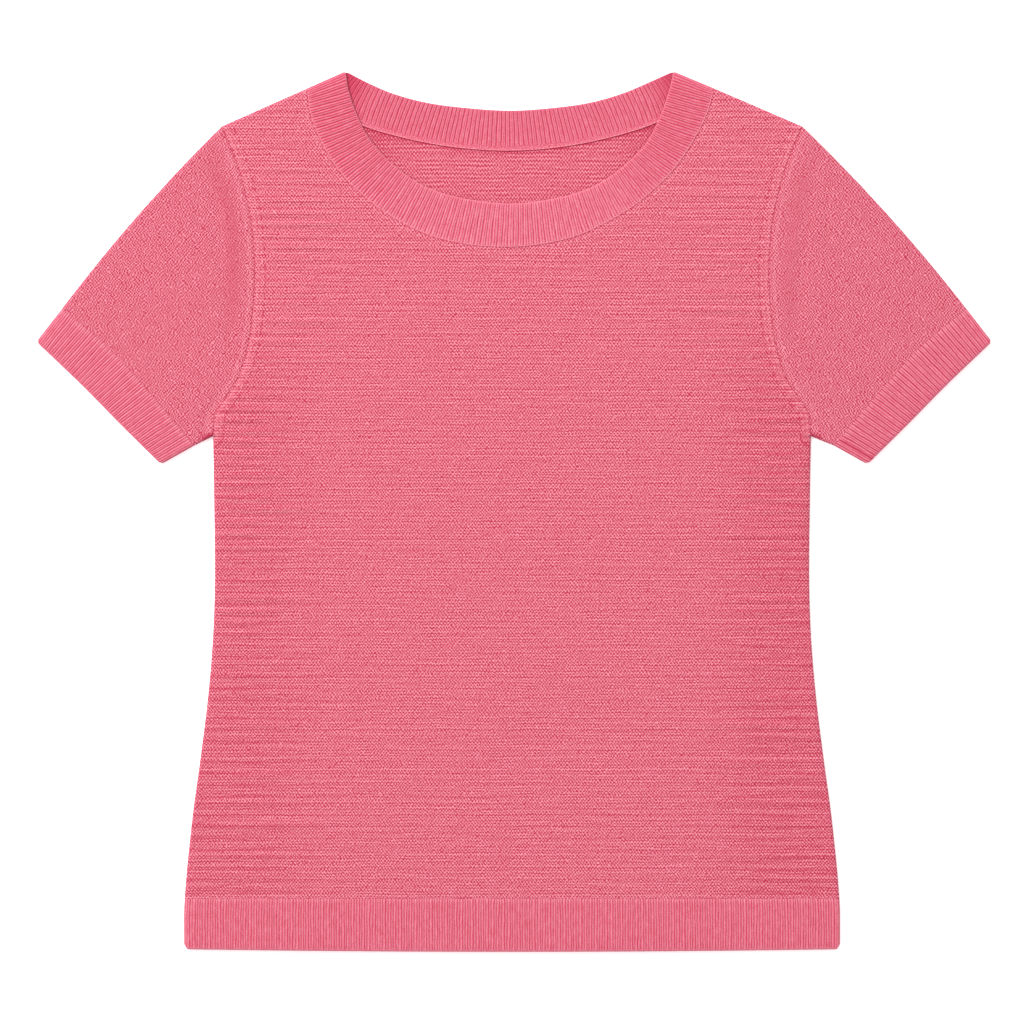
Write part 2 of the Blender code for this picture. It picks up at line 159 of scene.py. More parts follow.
# Soft ridges across the front beside its side seams and armholes: height, inset from the
# side, reach inwards, rise and half width, on the wearer's right and on the left
Ridge = namedtuple("Ridge", "up inset reach rise half_width")
RIGHT_RIDGES = table(
    Ridge,
    (397.9, 6, 40, 0.38, 3), (388.2, 2, 30, 0.32, 3.4), (379.5, 0, 44, 0.66, 3.2),
    (369.9, 2, 52, 0.85, 3.6), (363.1, 0, 38, 1.01, 3), (355.6, 3, 46, 0.82, 3.4),
    (348.1, 0, 50, 0.78, 3.2), (339.2, 2, 40, 0.7, 3.6), (332.4, 0, 44, 0.55, 3),
    (325.6, 4, 50, 0.84, 3.4), (318.7, 0, 36, 0.78, 3.2), (309.9, 0, 48, 0.72, 3.6),
    (302.3, 3, 70, 0.87, 3), (293.5, 0, 40, 0.61, 3.4), (285.3, 2, 36, 0.8, 3.2),
    (276.4, 0, 52, 0.53, 3.6), (267.5, 4, 40, 0.49, 3), (259.5, 0, 30, 0.32, 3.4),
    (252.5, 0, 46, 0.47, 3.2), (241.6, 2, 60, 0.61, 3.6), (232.7, 0, 50, 0.84, 3),
    (224.5, 0, 36, 0.49, 3.4), (217, 3, 30, 0.72, 3.2), (208.5, 0, 44, 0.36, 3.6),
    (197.5, 2, 60, 0.38, 3), (188.4, 0, 40, 0.4, 3.4), (177.4, 4, 70, 0.28, 4),
    (154.9, 2, 80, 0.36, 4.5), (134.5, 6, 60, 0.27, 3.8), (120.1, 0, 90, 0.44, 4.2),
    (102.4, 4, 70, 0.32, 4), (86.7, 2, 90, 0.44, 4.5), (65.5, 0, 80, 0.36, 3.8),
    (51.2, 6, 60, 0.25, 4.2), (534.4, 34, 44, 0.51, 3), (526.2, 30, 40, 0.46, 3.4),
    (512.6, 27, 60, 0.76, 3.2), (504.4, 28, 52, 0.68, 3.6), (496.9, 30, 64, 0.91, 3),
    (488.7, 30, 46, 0.51, 3.4), (481.2, 31, 60, 0.76, 3.2), (473.7, 30, 50, 0.44, 3.6),
    (456.6, 29, 56, 0.57, 3), (449.6, 32, 44, 0.53, 3.4), (442.9, 29, 62, 0.44, 3.2),
    (430.7, 28, 58, 0.78, 3.6), (424, 31, 40, 0.4, 3), (416, 26, 70, 0.51, 3.4),
    (405, 24, 64, 0.47, 3.2),
)
LEFT_RIDGES = table(
    Ridge,
    (389.7, 0, 52, 0.44, 3), (380.8, 2, 44, 0.49, 3.4), (372, 0, 50, 0.53, 3.2),
    (363.1, 3, 40, 0.61, 3.6), (354.5, 0, 52, 0.44, 3), (344.7, 0, 42, 0.47, 3.4),
    (338.5, 4, 36, 0.74, 3.2), (332.4, 0, 46, 0.61, 3.6), (324.2, 2, 54, 0.78, 3),
    (318, 0, 34, 0.46, 3.4), (309.2, 3, 60, 0.61, 3.2), (301.7, 0, 48, 0.74, 3.6),
    (294.2, 2, 38, 0.44, 3), (284.6, 0, 62, 0.51, 3.4), (275.7, 0, 50, 0.55, 3.2),
    (267, 5, 34, 0.27, 3.6), (258.7, 0, 66, 0.47, 3), (249.8, 2, 44, 0.32, 3.4),
    (240.2, 0, 58, 0.72, 3.2), (231.4, 3, 60, 0.49, 3.6), (223.2, 0, 56, 0.51, 3),
    (209, 4, 50, 0.32, 3.4), (195.8, 0, 54, 0.44, 3.2), (187.5, 2, 44, 0.3, 3.6),
    (172.7, 0, 64, 0.44, 3.8), (154.9, 4, 80, 0.68, 4.2), (146.7, 0, 50, 0.44, 4),
    (129, 2, 90, 0.34, 4.5), (120.1, 0, 64, 0.4, 3.8), (102.4, 3, 88, 0.38, 4.2),
    (86.7, 0, 60, 0.3, 4), (66.2, 2, 84, 0.36, 4.5), (50.5, 0, 60, 0.28, 3.8),
    (540.5, 36, 40, 0.46, 3), (531.5, 32, 36, 0.32, 3.4), (517.5, 29, 60, 0.51, 3.2),
    (508.5, 30, 40, 0.25, 3.6), (496.2, 30, 52, 0.36, 3), (484.5, 31, 62, 0.49, 3.4),
    (476.4, 30, 48, 0.47, 3.2), (470.2, 32, 44, 0.61, 3.6), (462.7, 29, 56, 0.55, 3),
    (449.1, 30, 64, 0.57, 3.4), (438.2, 28, 60, 0.72, 3.2), (430, 31, 40, 0.36, 3.6),
    (419.1, 27, 66, 0.47, 3), (408.5, 25, 50, 0.38, 3.4), (398.5, 20, 60, 0.65, 3.2),
)

# Soft troughs on a sleeve, as shares round (top fold to underarm) and along (armhole
# to cuff), each from a start to an end
Trough = namedtuple("Trough", "around along around_end along_end half_width depth")
SLEEVE_TROUGHS = table(
    Trough,
    (0.06, 0.12, 0.72, 0.13, 8, 0.75), (0.05, 0.16, 0.3, 0.36, 5, 0.3),
    (0.78, 0.2, 0.98, 0.62, 6, 0.34), (0.86, 0.08, 0.9, 0.4, 5, 0.3),
    (0.3, 0.6, 0.62, 0.72, 8, 0.14),
)

# How deep the troughs are on the wearer's left and right sleeve
TROUGH_SHARES = {1: 0.7, -1: 1.0}

# The ledge beside the seam of the neckband's back, in millimetres from the seam: where the
# ribs end, how far it reaches, how far both ease out, its rise, and over how many ribs it
# ends at the shoulders
LEDGE_START = 2.4
LEDGE_REACH = 4.4
LEDGE_EASE = 1.4
LEDGE_RISE = 0.35
LEDGE_END_RIBS = 3

# Spacing of the shell's points, in millimetres or as a number of points, and the marks
# along the seams that the finishes measure from
CURVE_STEPS = 24
ROW_STEP = 1.5
COLUMN_STEP = 5.5
NECK_ROW_STEP = 3.2
FOLD_STEPS = 7
LEVEL_STEPS = 9
SLEEVE_ROWS = 44
SLEEVE_COLUMNS = 72
NECK_COLUMNS = 240
ARMHOLE_MARKS = 160
NECK_MARKS = 400
POINTS_AT_ONCE = 4096
SAME_UP = 0.01
EDGE_ANGLES = np.array((0.36, 0.18, 0.0, -0.18, -0.36)) * np.pi

# Edges, in millimetres: how far in the wall starts to close, and the points there
ROLL_REACH = 1.8
ROLL_SHARES = np.array((0.0, 0.12, 0.3, 0.55, 0.8, 1.0))
ARMHOLE_ROLL_REACH = 1.2
NECK_LIP = np.array((0.0, 0.3, 0.6, 0.9, 1.3, 1.8))
NECK_LIP_FADE = 9.0

# How far the wall closes in at an edge that rolls over, at a linked one, at a rib's free
# edge, at both edges of the neckband and at the panels' necklines
ROLL_DROP = 0.55
LINKED_DROP = 0.12
FREE_RIB_DROP = 0.9
NECK_FREE_DROP = 0.45
NECK_LINKED_DROP = 0.3
FRONT_NECK_DROP = 0.3
BACK_NECK_DROP = 1.2

# Linking threads: radius, height of the middle and its ripple, number of points, and the
# shares of the seam's length where they start and end
Thread = namedtuple("Thread", "radius rise ripple points start end")
FRONT_NECK_THREAD = Thread(0.42, 4.22, 0.05, 420, 0.006, 0.994)
BACK_NECK_THREAD = Thread(0.42, 2.0, 0.0, 360, 0.02, 0.98)
ARMHOLE_THREAD = Thread(0.3, 3.55, 0.0, 240, 0.012, 0.99)
BACK_THREAD_INSET = 0.1
THREAD_SIDES = 8


def length_of(vectors):
    """The length of each vector in the last axis, kept as an axis of one."""
    return np.linalg.norm(vectors, axis=-1, keepdims=True)


def unit(vectors):
    """Each vector at a length of one."""
    return vectors / length_of(vectors)


def clipped(value):
    """A value kept between 0 and 1."""
    return np.clip(value, 0.0, 1.0)


class Curve:
    """A smooth plan curve through a few points, read by the share of its length."""

    def __init__(self, rows):
        knots = [Vector(row) for row in rows]
        padded = [2 * knots[0] - knots[1], *knots, 2 * knots[-1] - knots[-2]]
        points = [knots[0]]
        for before, start, end, after in zip(padded, padded[1:], padded[2:], padded[3:]):
            third = (end - start).length / 3
            leave = start + (end - before).normalized() * third
            arrive = end - (after - start).normalized() * third
            points += interpolate_bezier(start, leave, arrive, end, CURVE_STEPS)[1:]
        self.measure(np.array([point[:] for point in points]))

    def measure(self, points):
        self.points = points
        steps = np.linalg.norm(np.diff(points, axis=0), axis=1)
        self.reach = np.concatenate([[0.0], np.cumsum(steps)])
        self.length = self.reach[-1]

    def at(self, share):
        """The points at shares of the curve's length."""
        target = clipped(share) * self.length
        return np.stack([np.interp(target, self.reach, axis) for axis in self.points.T], axis=-1)

    def at_up(self, up):
        """The points at heights, on a curve that climbs all the way."""
        return np.stack([np.interp(up, self.points[:, 1], self.points[:, 0]), up], axis=-1)

    @classmethod
    def through(cls, points):
        """Makes a curve of straight runs between points."""
        curve = cls.__new__(cls)
        curve.measure(points)
        return curve

    def moved(self, offset):
        """The same curve, moved sideways to its right by an offset."""
        along = np.gradient(self.points, axis=0)
        aside = np.stack([along[:, 1], -along[:, 0]], axis=-1)
        return Curve.through(self.points + offset * unit(aside))

    def turned(self):
        """The same curve, read from its other end."""
        return Curve.through(self.points[::-1])

    def towards(self, other, share):
        """A curve a share of the way from this one to another with as many points."""
        return Curve.through(self.points + (other.points - self.points) * share)


def neckline(half_rows):
    """The whole neckline, from the wearer's right to the left."""
    right = [Plan(row.drift - row.across, row.up) for row in reversed(half_rows[1:])]
    return Curve(right + [Plan(row.drift + row.across, row.up) for row in half_rows])


def between_folds(curve, fan=0.0, upright=0.0):
    """Reads a curve by share, leaving out the fold's radius at both ends.  A fan above
    zero moves the shares near the ends outwards, and upright moves the others inwards."""
    inset = FOLD_RADIUS / curve.length

    def line(share):
        half = 2 * np.asarray(share, float) - 1
        moved = fan * half**5 * (1 - half**2) - upright * half * (1 - half**6)
        return curve.at(inset + (1 - 2 * inset) * (0.5 + 0.5 * (half + moved)))

    return line


SIDE = Curve(SIDE_SEAM)
ARMHOLE = Curve(ARMHOLE_SEAM)
SLEEVE_ARMHOLE = ARMHOLE.moved(SEAM_GAP)


def placed(plan, height):
    """Points of the garment, centred between its ends."""
    plan = np.asarray(plan, float)
    height = np.broadcast_to(np.asarray(height, float), plan.shape[:-1])
    return np.stack([plan[..., 0] - CUFF_DRIFT, plan[..., 1] - LENGTH / 2, height], axis=-1)


def layer_points(plan, layer, outer_lift=0.0, inner_lift=0.0):
    """The outer and the inner points of one layer's wall."""
    outer = placed(plan, FOLD_RADIUS + layer * FOLD_RADIUS + outer_lift)
    return outer, placed(plan, FOLD_RADIUS + layer * INNER_RADIUS + inner_lift)


def fold_points(centre, edge, angles):
    """The outer and the inner points of the wall where it turns round a folded edge."""
    reach = np.cos(angles)[..., None]
    rise = np.sin(angles)
    centre, edge = np.asarray(centre, float), np.asarray(edge, float)
    outer = placed(centre + (edge - centre) * reach, FOLD_RADIUS * (1 + rise))
    inner_plan = centre + (edge - centre) * reach * INNER_RADIUS / FOLD_RADIUS
    return outer, placed(inner_plan, FOLD_RADIUS + INNER_RADIUS * rise)


def joined(*stretches):
    """Stretches of wall points set end to end: each is a pair of outer and inner points."""
    return tuple(np.concatenate(side) for side in zip(*stretches))


def squeeze(distance, reach=ROLL_REACH, drop=ROLL_DROP):
    """How far the wall closes in towards its middle near an edge that rolls over."""
    short = clipped(1 - np.asarray(distance, float) / reach)
    return 1 - drop / FOLD_RADIUS * (1 - np.sqrt(1 - short**2))


def squeezed(points, factor):
    """Wall points drawn in towards the height of the fold's middle."""
    points = points.copy()
    points[..., 2] = FOLD_RADIUS + (points[..., 2] - FOLD_RADIUS) * factor
    return points


def waver(place, seed):
    """A smooth uneven value from -1 to 1 along a run, different for each seed."""
    place = np.asarray(place, float)
    total = np.sin(place * 0.83 + seed * 1.7) + np.sin(place * 1.97 + seed * 4.1)
    return (total + np.sin(place * 0.31 + seed * 2.9)) / 3


def side_angles(layer):
    """Angles of the points round a side fold, from a layer's flat face to the side seam."""
    turn = np.pi / 2 - SEAM_ANGLE
    return layer * (np.pi / 2 - turn * np.arange(1, FOLD_STEPS + 1) / FOLD_STEPS)


def edge_levels(depth, steps=LEVEL_STEPS):
    """Distances from one edge of a band to the other: close at both ends, even between."""
    roll = ROLL_REACH * ROLL_SHARES
    even = np.linspace(ROLL_REACH, depth - ROLL_REACH, steps)[1:-1]
    return np.concatenate([roll, even, depth - roll[::-1]])


def band(depth, row_at, free_drop, linked_drop=LINKED_DROP, steps=LEVEL_STEPS):
    """The grids of a band, level by level from its free edge to its linked one.  row_at
    gives the wall points and the knit coordinates at a level."""
    outer, inner, knit = [], [], []
    for level in edge_levels(depth, steps):
        wall, places = row_at(level)
        drop = free_drop if level < depth / 2 else linked_drop
        outer.append(squeezed(wall[0], squeeze(min(level, depth - level), drop=drop)))
        inner.append(wall[1])
        knit.append(places)
    return np.array(outer), np.array(inner), np.array(knit)


def grid_faces(rows, columns, first):
    """Corner numbers of a point grid's four-sided cells."""
    index = first + np.arange(rows * columns).reshape(rows, columns)
    cells = (index[:-1, :-1], index[:-1, 1:], index[1:, 1:], index[1:, :-1])
    return np.stack(cells, axis=-1).reshape(-1, 4)


def shell(name, sheets, finish, node):
    """Makes one closed shell of sheets, each a grid of outer points, of inner points and
    of knit coordinates.

    Points that fall together are one, so sheets that share an edge are joined there and
    a ring closes on itself.  Every edge that is left open gets a rim.
    """
    outer, inner, knit = (
        np.concatenate([sheet[part].reshape(-1, sheet[part].shape[-1]) for sheet in sheets])
        for part in range(3)
    )
    faces, first = [], 0
    for sheet in sheets:
        rows, columns = sheet[0].shape[:2]
        faces.append(grid_faces(rows, columns, first))
        first += rows * columns
    corners = np.concatenate(faces)
    pairs = np.round(np.concatenate([outer, inner], axis=1), 3)
    _, chosen, weld = np.unique(pairs, axis=0, return_index=True, return_inverse=True)
    count = len(chosen)
    top = weld.reshape(-1)[corners]
    starts, ends = top.ravel(), np.roll(top, -1, axis=1).ravel()
    open_edge = ~np.isin(starts * count + ends, ends * count + starts)
    start, end = starts[open_edge], ends[open_edge]
    rim = np.stack([end, start, start + count, end + count], axis=-1)
    knit_start = corners.ravel()[open_edge]
    knit_end = np.roll(corners, -1, axis=1).ravel()[open_edge]
    rim_knit = np.stack([knit_end, knit_start, knit_start, knit_end], axis=-1)
    points = np.concatenate([outer[chosen], inner[chosen]]) * MM
    faces = np.concatenate([top, top[:, ::-1] + count, rim])
    corners = np.concatenate([corners, corners[:, ::-1], rim_knit])
    if enclosed(points, faces) < 0:
        faces, corners = faces[:, ::-1], corners[:, ::-1]
    return made_mesh(name, points, faces, knit[corners.ravel()], finish, node)


def enclosed(points, faces):
    """The volume inside a mesh of four-sided faces, below zero where it is inside out."""
    a, b, c, d = (points[faces[:, corner]] for corner in range(4))
    return float((np.cross(a, b) * c).sum() + (np.cross(a, c) * d).sum()) / 6


def made_mesh(name, points, faces, knit, finish, node):
    """Makes an object of four-sided faces, with its knit coordinates and its material."""
    data = bpy.data.meshes.new(name)
    data.vertices.add(len(points))
    data.vertices.foreach_set("co", points.astype(np.float32).ravel())
    data.loops.add(faces.size)
    data.loops.foreach_set("vertex_index", faces.astype(np.int32).ravel())
    data.polygons.add(len(faces))
    data.polygons.foreach_set("loop_start", np.arange(0, faces.size, 4, dtype=np.int32))
    data.update(calc_edges=True)
    pairs = np.split(knit.astype(np.float32), knit.shape[1] // 2, axis=1)
    for layer_name, pair in zip(("knit", "armhole", "neckline"), pairs):
        data.uv_layers.new(name=layer_name).data.foreach_set("uv", pair.ravel())
    data.shade_smooth()
    data.validate()
    data.materials.append(finish)
    piece = bpy.data.objects.new(name, data)
    bpy.context.scene.collection.objects.link(piece)
    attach(piece, "root")
    if node:
        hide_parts(node)
    return piece


# ---------------------------------------------------------------------------------
# Body panels


def ridge_lift(plan):
    """Height of the soft ridges beside the side seams, at points of the front."""
    inset = SIDE.at_up(plan[..., 1])[..., 0] - np.abs(plan[..., 0])
    lift = np.zeros(plan.shape[:-1])
    for side, ridges in ((-1, RIGHT_RIDGES), (1, LEFT_RIDGES)):
        for order, ridge in enumerate(ridges):
            bend = 0.7 * waver(inset / 16, order + 3 * side)
            along = clipped((inset - ridge.inset) / ridge.reach)
            offset = clipped(np.abs(plan[..., 1] - ridge.up - bend) / ridge.half_width)
            shape = np.sin(np.pi * along) ** 0.5 * np.cos(np.pi / 2 * offset) ** 2
            lift += np.where(plan[..., 0] * side > 0, ridge.rise * shape, 0.0)
    return lift


def soft_swell(plan, depth):
    """A faint uneven swell of cloth that isn't pressed quite flat."""
    across, up = plan[..., 0], plan[..., 1]
    first = np.sin(across / 37 + 1.3 * np.sin(up / 61)) * np.sin(up / 29 + 0.8)
    second = np.sin(across / 19 + up / 83 + 2.0) * np.sin(up / 47 - across / 120)
    return depth * (first + 0.6 * second)


def panel_rows(neck):
    """Plan rows of half a panel, by their starts and their ends, and its shoulder edge.
    The rows run across the body, then fan out between the neck and the armhole."""
    middle = neck.at(0.5)
    roll = HEM_DEPTH + SEAM_GAP / 2 + ROLL_REACH * ROLL_SHARES
    count = round((ARMPIT_UP - roll[0]) / ROW_STEP)
    low = np.concatenate([roll, np.linspace(roll[-1], ARMPIT_UP - SAME_UP, count)[1:]])
    high = np.linspace(ARMPIT_UP, middle[1], round((middle[1] - ARMPIT_UP) / ROW_STEP))
    fan = math.ceil(neck.length / 2 / NECK_ROW_STEP)
    shares = np.arange(1, fan + 1) / fan
    last = 1 - FOLD_RADIUS / (neck.length / 2)
    tip_up = ARMHOLE.at(1 - FOLD_RADIUS / ARMHOLE.length)[1]
    starts = [np.stack([np.full(len(ups), middle[0]), ups], axis=-1) for ups in (low, high)]
    starts.append(neck.at(0.5 + shares * last / 2))
    fanned = middle[1] + (tip_up - middle[1]) * shares
    ends = [SIDE.at_up(low), ARMHOLE.at_up(high), ARMHOLE.at_up(fanned)]
    neck_point, tip = neck.at(1.0), ARMHOLE.points[-1]
    shoulder = (neck_point + unit(tip - neck_point) * SEAM_GAP, tip)
    return np.concatenate(starts), np.concatenate(ends), shoulder


def half_panel(layer, neck, lift, neck_drop):
    """Wall points of the half of a panel on the wearer's left, turned at side and shoulder."""
    starts, ends, (start, end) = panel_rows(neck)
    centres = ends - unit(ends - starts) * FOLD_RADIUS
    spans = length_of(centres - starts)
    columns = np.linspace(0.0, 1.0, round(SIDE_SEAM[0].across / COLUMN_STEP) + 1)[1:]
    lip = np.broadcast_to(NECK_LIP, (len(starts), len(NECK_LIP)))
    distances = np.concatenate([lip, NECK_LIP[-1] + (spans - NECK_LIP[-1]) * columns], axis=1)
    count = distances.shape[1]
    shares = (distances / spans)[..., None]
    flat = starts[:, None] + (centres - starts)[:, None] * shares
    angles = side_angles(layer)
    reach = np.cos(angles)[:, None]
    outer, inner = [], []
    for row in range(len(starts)):
        lifts = lift(flat[row])
        ease = squeeze(starts[row, 1] - HEM_DEPTH - SEAM_GAP / 2, drop=LINKED_DROP)
        flat_wall = layer_points(flat[row], layer, lifts, lifts)
        if ends[row, 1] < ARMPIT_UP:
            edge_wall = fold_points(centres[row], ends[row], angles)
            closing = np.full(FOLD_STEPS, ease)
        else:
            plan = centres[row] + (ends[row] - centres[row]) * reach
            edge_wall = layer_points(plan, layer)
            closing = squeeze(np.linalg.norm(plan - ends[row], axis=1), ARMHOLE_ROLL_REACH)
        wall = joined(flat_wall, edge_wall)
        if starts[row, 1] > neck.at(0.5)[1] - SAME_UP:
            fade = min(1.0, (neck.at(1.0)[1] - starts[row, 1]) / NECK_LIP_FADE)
            kept = squeeze(distances[row], NECK_LIP[-1], neck_drop * fade)
            upper = wall[0] if layer == FRONT else wall[1]
            upper[:count, 2] -= FOLD_RADIUS * (1 - kept)
        outer.append(squeezed(wall[0], np.concatenate([np.full(count, ease), closing])))
        inner.append(wall[1])
    last_plan = np.concatenate([flat[-1], centres[-1] + (ends[-1] - centres[-1]) * reach])
    centre = end - unit(end - start) * FOLD_RADIUS
    edge_flat = start + (centre - start) * shares[-1]
    edge_plan = np.concatenate([edge_flat, centre + (end - centre) * reach])
    for angle in angles:
        turned = fold_points(last_plan, edge_plan, np.full(len(last_plan), angle))
        outer.append(turned[0])
        inner.append(turned[1])
    return np.array(outer), np.array(inner)


def nearest_on(plan, seam, measures):
    """Distance of plan points from a seam's points, and the measure of the nearest one."""
    flat = plan.reshape(-1, 2)
    near = np.empty((len(flat), 2))
    for first in range(0, len(flat), POINTS_AT_ONCE):
        some = slice(first, first + POINTS_AT_ONCE)
        gaps = np.linalg.norm(flat[some, None] - seam, axis=-1)
        near[some, 0] = gaps.min(axis=1)
        near[some, 1] = measures[gaps.argmin(axis=1)]
    return near.reshape(plan.shape)


def knit_places(points, neck=None):
    """Knit coordinates of a plain knit sheet in metres: its plan, then the distance from
    the armhole seam with the height there, then from the neckline with the run along it."""
    plan = points[..., :2] + (CUFF_DRIFT, LENGTH / 2)
    armhole = ARMHOLE.at(np.linspace(0.0, 1.0, ARMHOLE_MARKS))
    places = [points[..., :2], nearest_on(np.abs(plan), armhole, armhole[:, 1])]
    if neck:
        shares = np.linspace(0.0, 1.0, NECK_MARKS)
        places.append(nearest_on(plan, neck.at(shares), shares * neck.length))
    return np.concatenate(places, axis=-1) * MM


def mirrored(points):
    """The same wall points on the wearer's right."""
    return points[:, ::-1] * (-1, 1, 1) + (-2 * CUFF_DRIFT, 0, 0)


def panel(name, node, layer, neck, lift, neck_drop, finish):
    """A body panel: plain rims at hem, neck and armholes, turned edges at side and shoulder."""
    left = half_panel(layer, neck, lift, neck_drop)
    other_neck = Curve.through(neck.points[::-1] * (-1, 1))
    right = half_panel(layer, other_neck, lambda plan: lift(plan * (-1, 1)), neck_drop)
    halves = (left, [mirrored(side) for side in right])
    sheets = [(outer, inner, knit_places(outer, neck)) for outer, inner in halves]
    return shell(name, sheets, finish, node)


# ---------------------------------------------------------------------------------
# Ribs


def rib_relief(place):
    """Height of a rib's rounded crest from its groove, from 0 to 1, by the rib count."""
    inside = place % 1.0
    groove = np.exp(-((np.minimum(inside, 1 - inside) / GROOVE_WIDTH) ** 2))
    crease = CREASE_DEPTH * np.exp(-(((inside - 0.5) / CREASE_WIDTH) ** 2))
    return 1 - groove - crease


def rib_places(ribs):
    """Rib counts of the points across a ribbed run."""
    return np.array([rib + step for rib in range(ribs) for step in RIB_STEPS] + [ribs])


def rib_run(line, ribs, layer, rise, level, seed):
    """Wall points and rib counts along a ribbed run, with its upward side raised.

    The ribs waver a little in width and stand a little unevenly, as knit ribs do.
    """
    place = rib_places(ribs)
    fade = clipped(np.minimum(place, ribs - place) / END_RIBS)
    shift = 0.14 * waver(place * 1.1, seed) + 0.08 * waver(place * 0.9 + level / 9, seed + 5)
    height = rise * (0.85 + 0.15 * waver(np.floor(place) * 1.7 + level / 14, seed + 2))
    lift = height * rib_relief(place) * fade
    lifts = (lift, 0.0) if layer == FRONT else (0.0, lift)
    return layer_points(line(clipped((place + shift * fade) / ribs)), layer, *lifts), place


def plain_run(line, ribs, layer):
    """Wall points and rib counts along the flat side that rests on the surface."""
    place = np.linspace(0.0, ribs, 2 * ribs + 1)
    return layer_points(line(place / ribs), layer), place


def rib_counts(front, front_ribs, back, back_ribs):
    """Rib counts once round a band: its front, a fold, its back, a fold and the start."""
    turn = FOLD_RIBS * (0.5 + EDGE_ANGLES[::-1] / np.pi)
    past = front_ribs + FOLD_RIBS
    end = past + back_ribs + FOLD_RIBS
    return np.concatenate([front, front_ribs + turn, past + back, past + back_ribs + turn, [end]])


def rib_knit(counts, level):
    """Knit coordinates of a rib's row: its rib counts, and its level in metres."""
    return np.stack([counts, np.full(len(counts), level * MM)], axis=-1)


def rib_fade(level, depth, free=1.6, sewn=0.5):
    """How much of the relief is left near the free edge and near the seam."""
    return min(1.0, level / free) * min(1.0, 0.45 + (depth - level) / sewn)


def corner_inset(level, corner):
    """How far a fold's corner is drawn in, at a level from the free edge."""
    return corner / 2 * max(0.0, 1 - level / corner) ** 2


# ---------------------------------------------------------------------------------
# Sleeves and cuffs


def ring_row(upper, lower, top, underarm):
    """One ring round a flattened tube: upper face, underarm fold, lower face, top fold."""
    underarm_wall = fold_points(*underarm, EDGE_ANGLES)
    top_wall = fold_points(*top, EDGE_ANGLES[::-1])
    first = tuple(side[:1] for side in upper)
    return joined(upper, underarm_wall, lower, top_wall, first)


def cuff_line(rows, hand):
    """A line across the cuff, on the wearer's left, or on the right before it is mirrored."""
    return Curve([Plan(row.across + hand * CUFF_DRIFT, row.up) for row in rows])


def sleeve_plan(around, along, cuff_seam):
    """Points of the sleeve's plan: from the top fold round to the underarm, and from
    the armhole along to the cuff, blended from the four edges of the sleeve."""
    around = np.asarray(around, float)
    armhole, cuff_end = SLEEVE_ARMHOLE.at(1 - around), cuff_seam.at(around)
    top_start, top_end = SLEEVE_ARMHOLE.at(1.0), cuff_seam.at(0.0)
    low_start, low_end = SLEEVE_ARMHOLE.at(0.0), cuff_seam.at(1.0)
    line = top_end - top_start
    outward = unit(np.array((-line[1], line[0])))
    top = top_start + line * along + outward * (4 * SLEEVE_TOP_BOW * along * (1 - along))
    underarm = low_start + (low_end - low_start) * along
    share = around[..., None]
    edges = top + (underarm - top) * share
    start_edge = top_start + (low_start - top_start) * share
    end_edge = top_end + (low_end - top_end) * share
    across = armhole + (cuff_end - armhole) * along
    return across + edges - start_edge - (end_edge - start_edge) * along


def trough_lift(plan, cuff_seam, depth_share):
    """Depth of the sleeve's soft troughs, as a lift below zero."""
    lift = np.zeros(plan.shape[:-1])
    for trough in SLEEVE_TROUGHS:
        start = sleeve_plan(trough.around, trough.along, cuff_seam)
        run = sleeve_plan(trough.around_end, trough.along_end, cuff_seam) - start
        share = clipped(((plan - start) @ run) / (run @ run))
        nearest = start + share[..., None] * run
        offset = clipped(np.linalg.norm(plan - nearest, axis=-1) / trough.half_width)
        fade = np.sin(np.pi * share) ** 0.7
        lift -= depth_share * trough.depth * fade * np.cos(np.pi / 2 * offset) ** 2
    return lift


def sleeve(name, node, hand, finish):
    """A short set-in sleeve: a flattened tube, open at the armhole and at the cuff."""
    cuff_seam = cuff_line(CUFF_SEAM, hand).moved(SEAM_GAP)
    length = np.linalg.norm(cuff_seam.at(0.5) - SLEEVE_ARMHOLE.at(0.5))
    shares = np.linspace(0.0, 1.0, SLEEVE_COLUMNS)

    def row_at(level):
        along = level / length
        high, low = (sleeve_plan(end, along, cuff_seam) for end in (0.0, 1.0))
        inset = FOLD_RADIUS / np.linalg.norm(high - low)
        plan = sleeve_plan(inset + (1 - 2 * inset) * shares, along, cuff_seam)
        lift = trough_lift(plan, cuff_seam, TROUGH_SHARES[hand])
        upper = layer_points(plan, FRONT, lift, lift)
        lower = layer_points(plan[::-1], BACK)
        row = ring_row(upper, lower, (plan[0], high), (plan[-1], low))
        return row, knit_places(row[0])

    sheet = band(length, row_at, ROLL_DROP, steps=SLEEVE_ROWS)
    return tube_shell(name, node, hand, sheet, finish)


def tube_shell(name, node, hand, sheet, finish):
    """Makes a tube of its ring rows, mirrored for the wearer's right."""
    outer, inner, knit = sheet
    if hand < 0:
        outer, inner, knit = mirrored(outer), mirrored(inner), knit[:, ::-1]
    return shell(name, [(outer, inner, knit)], finish, node)


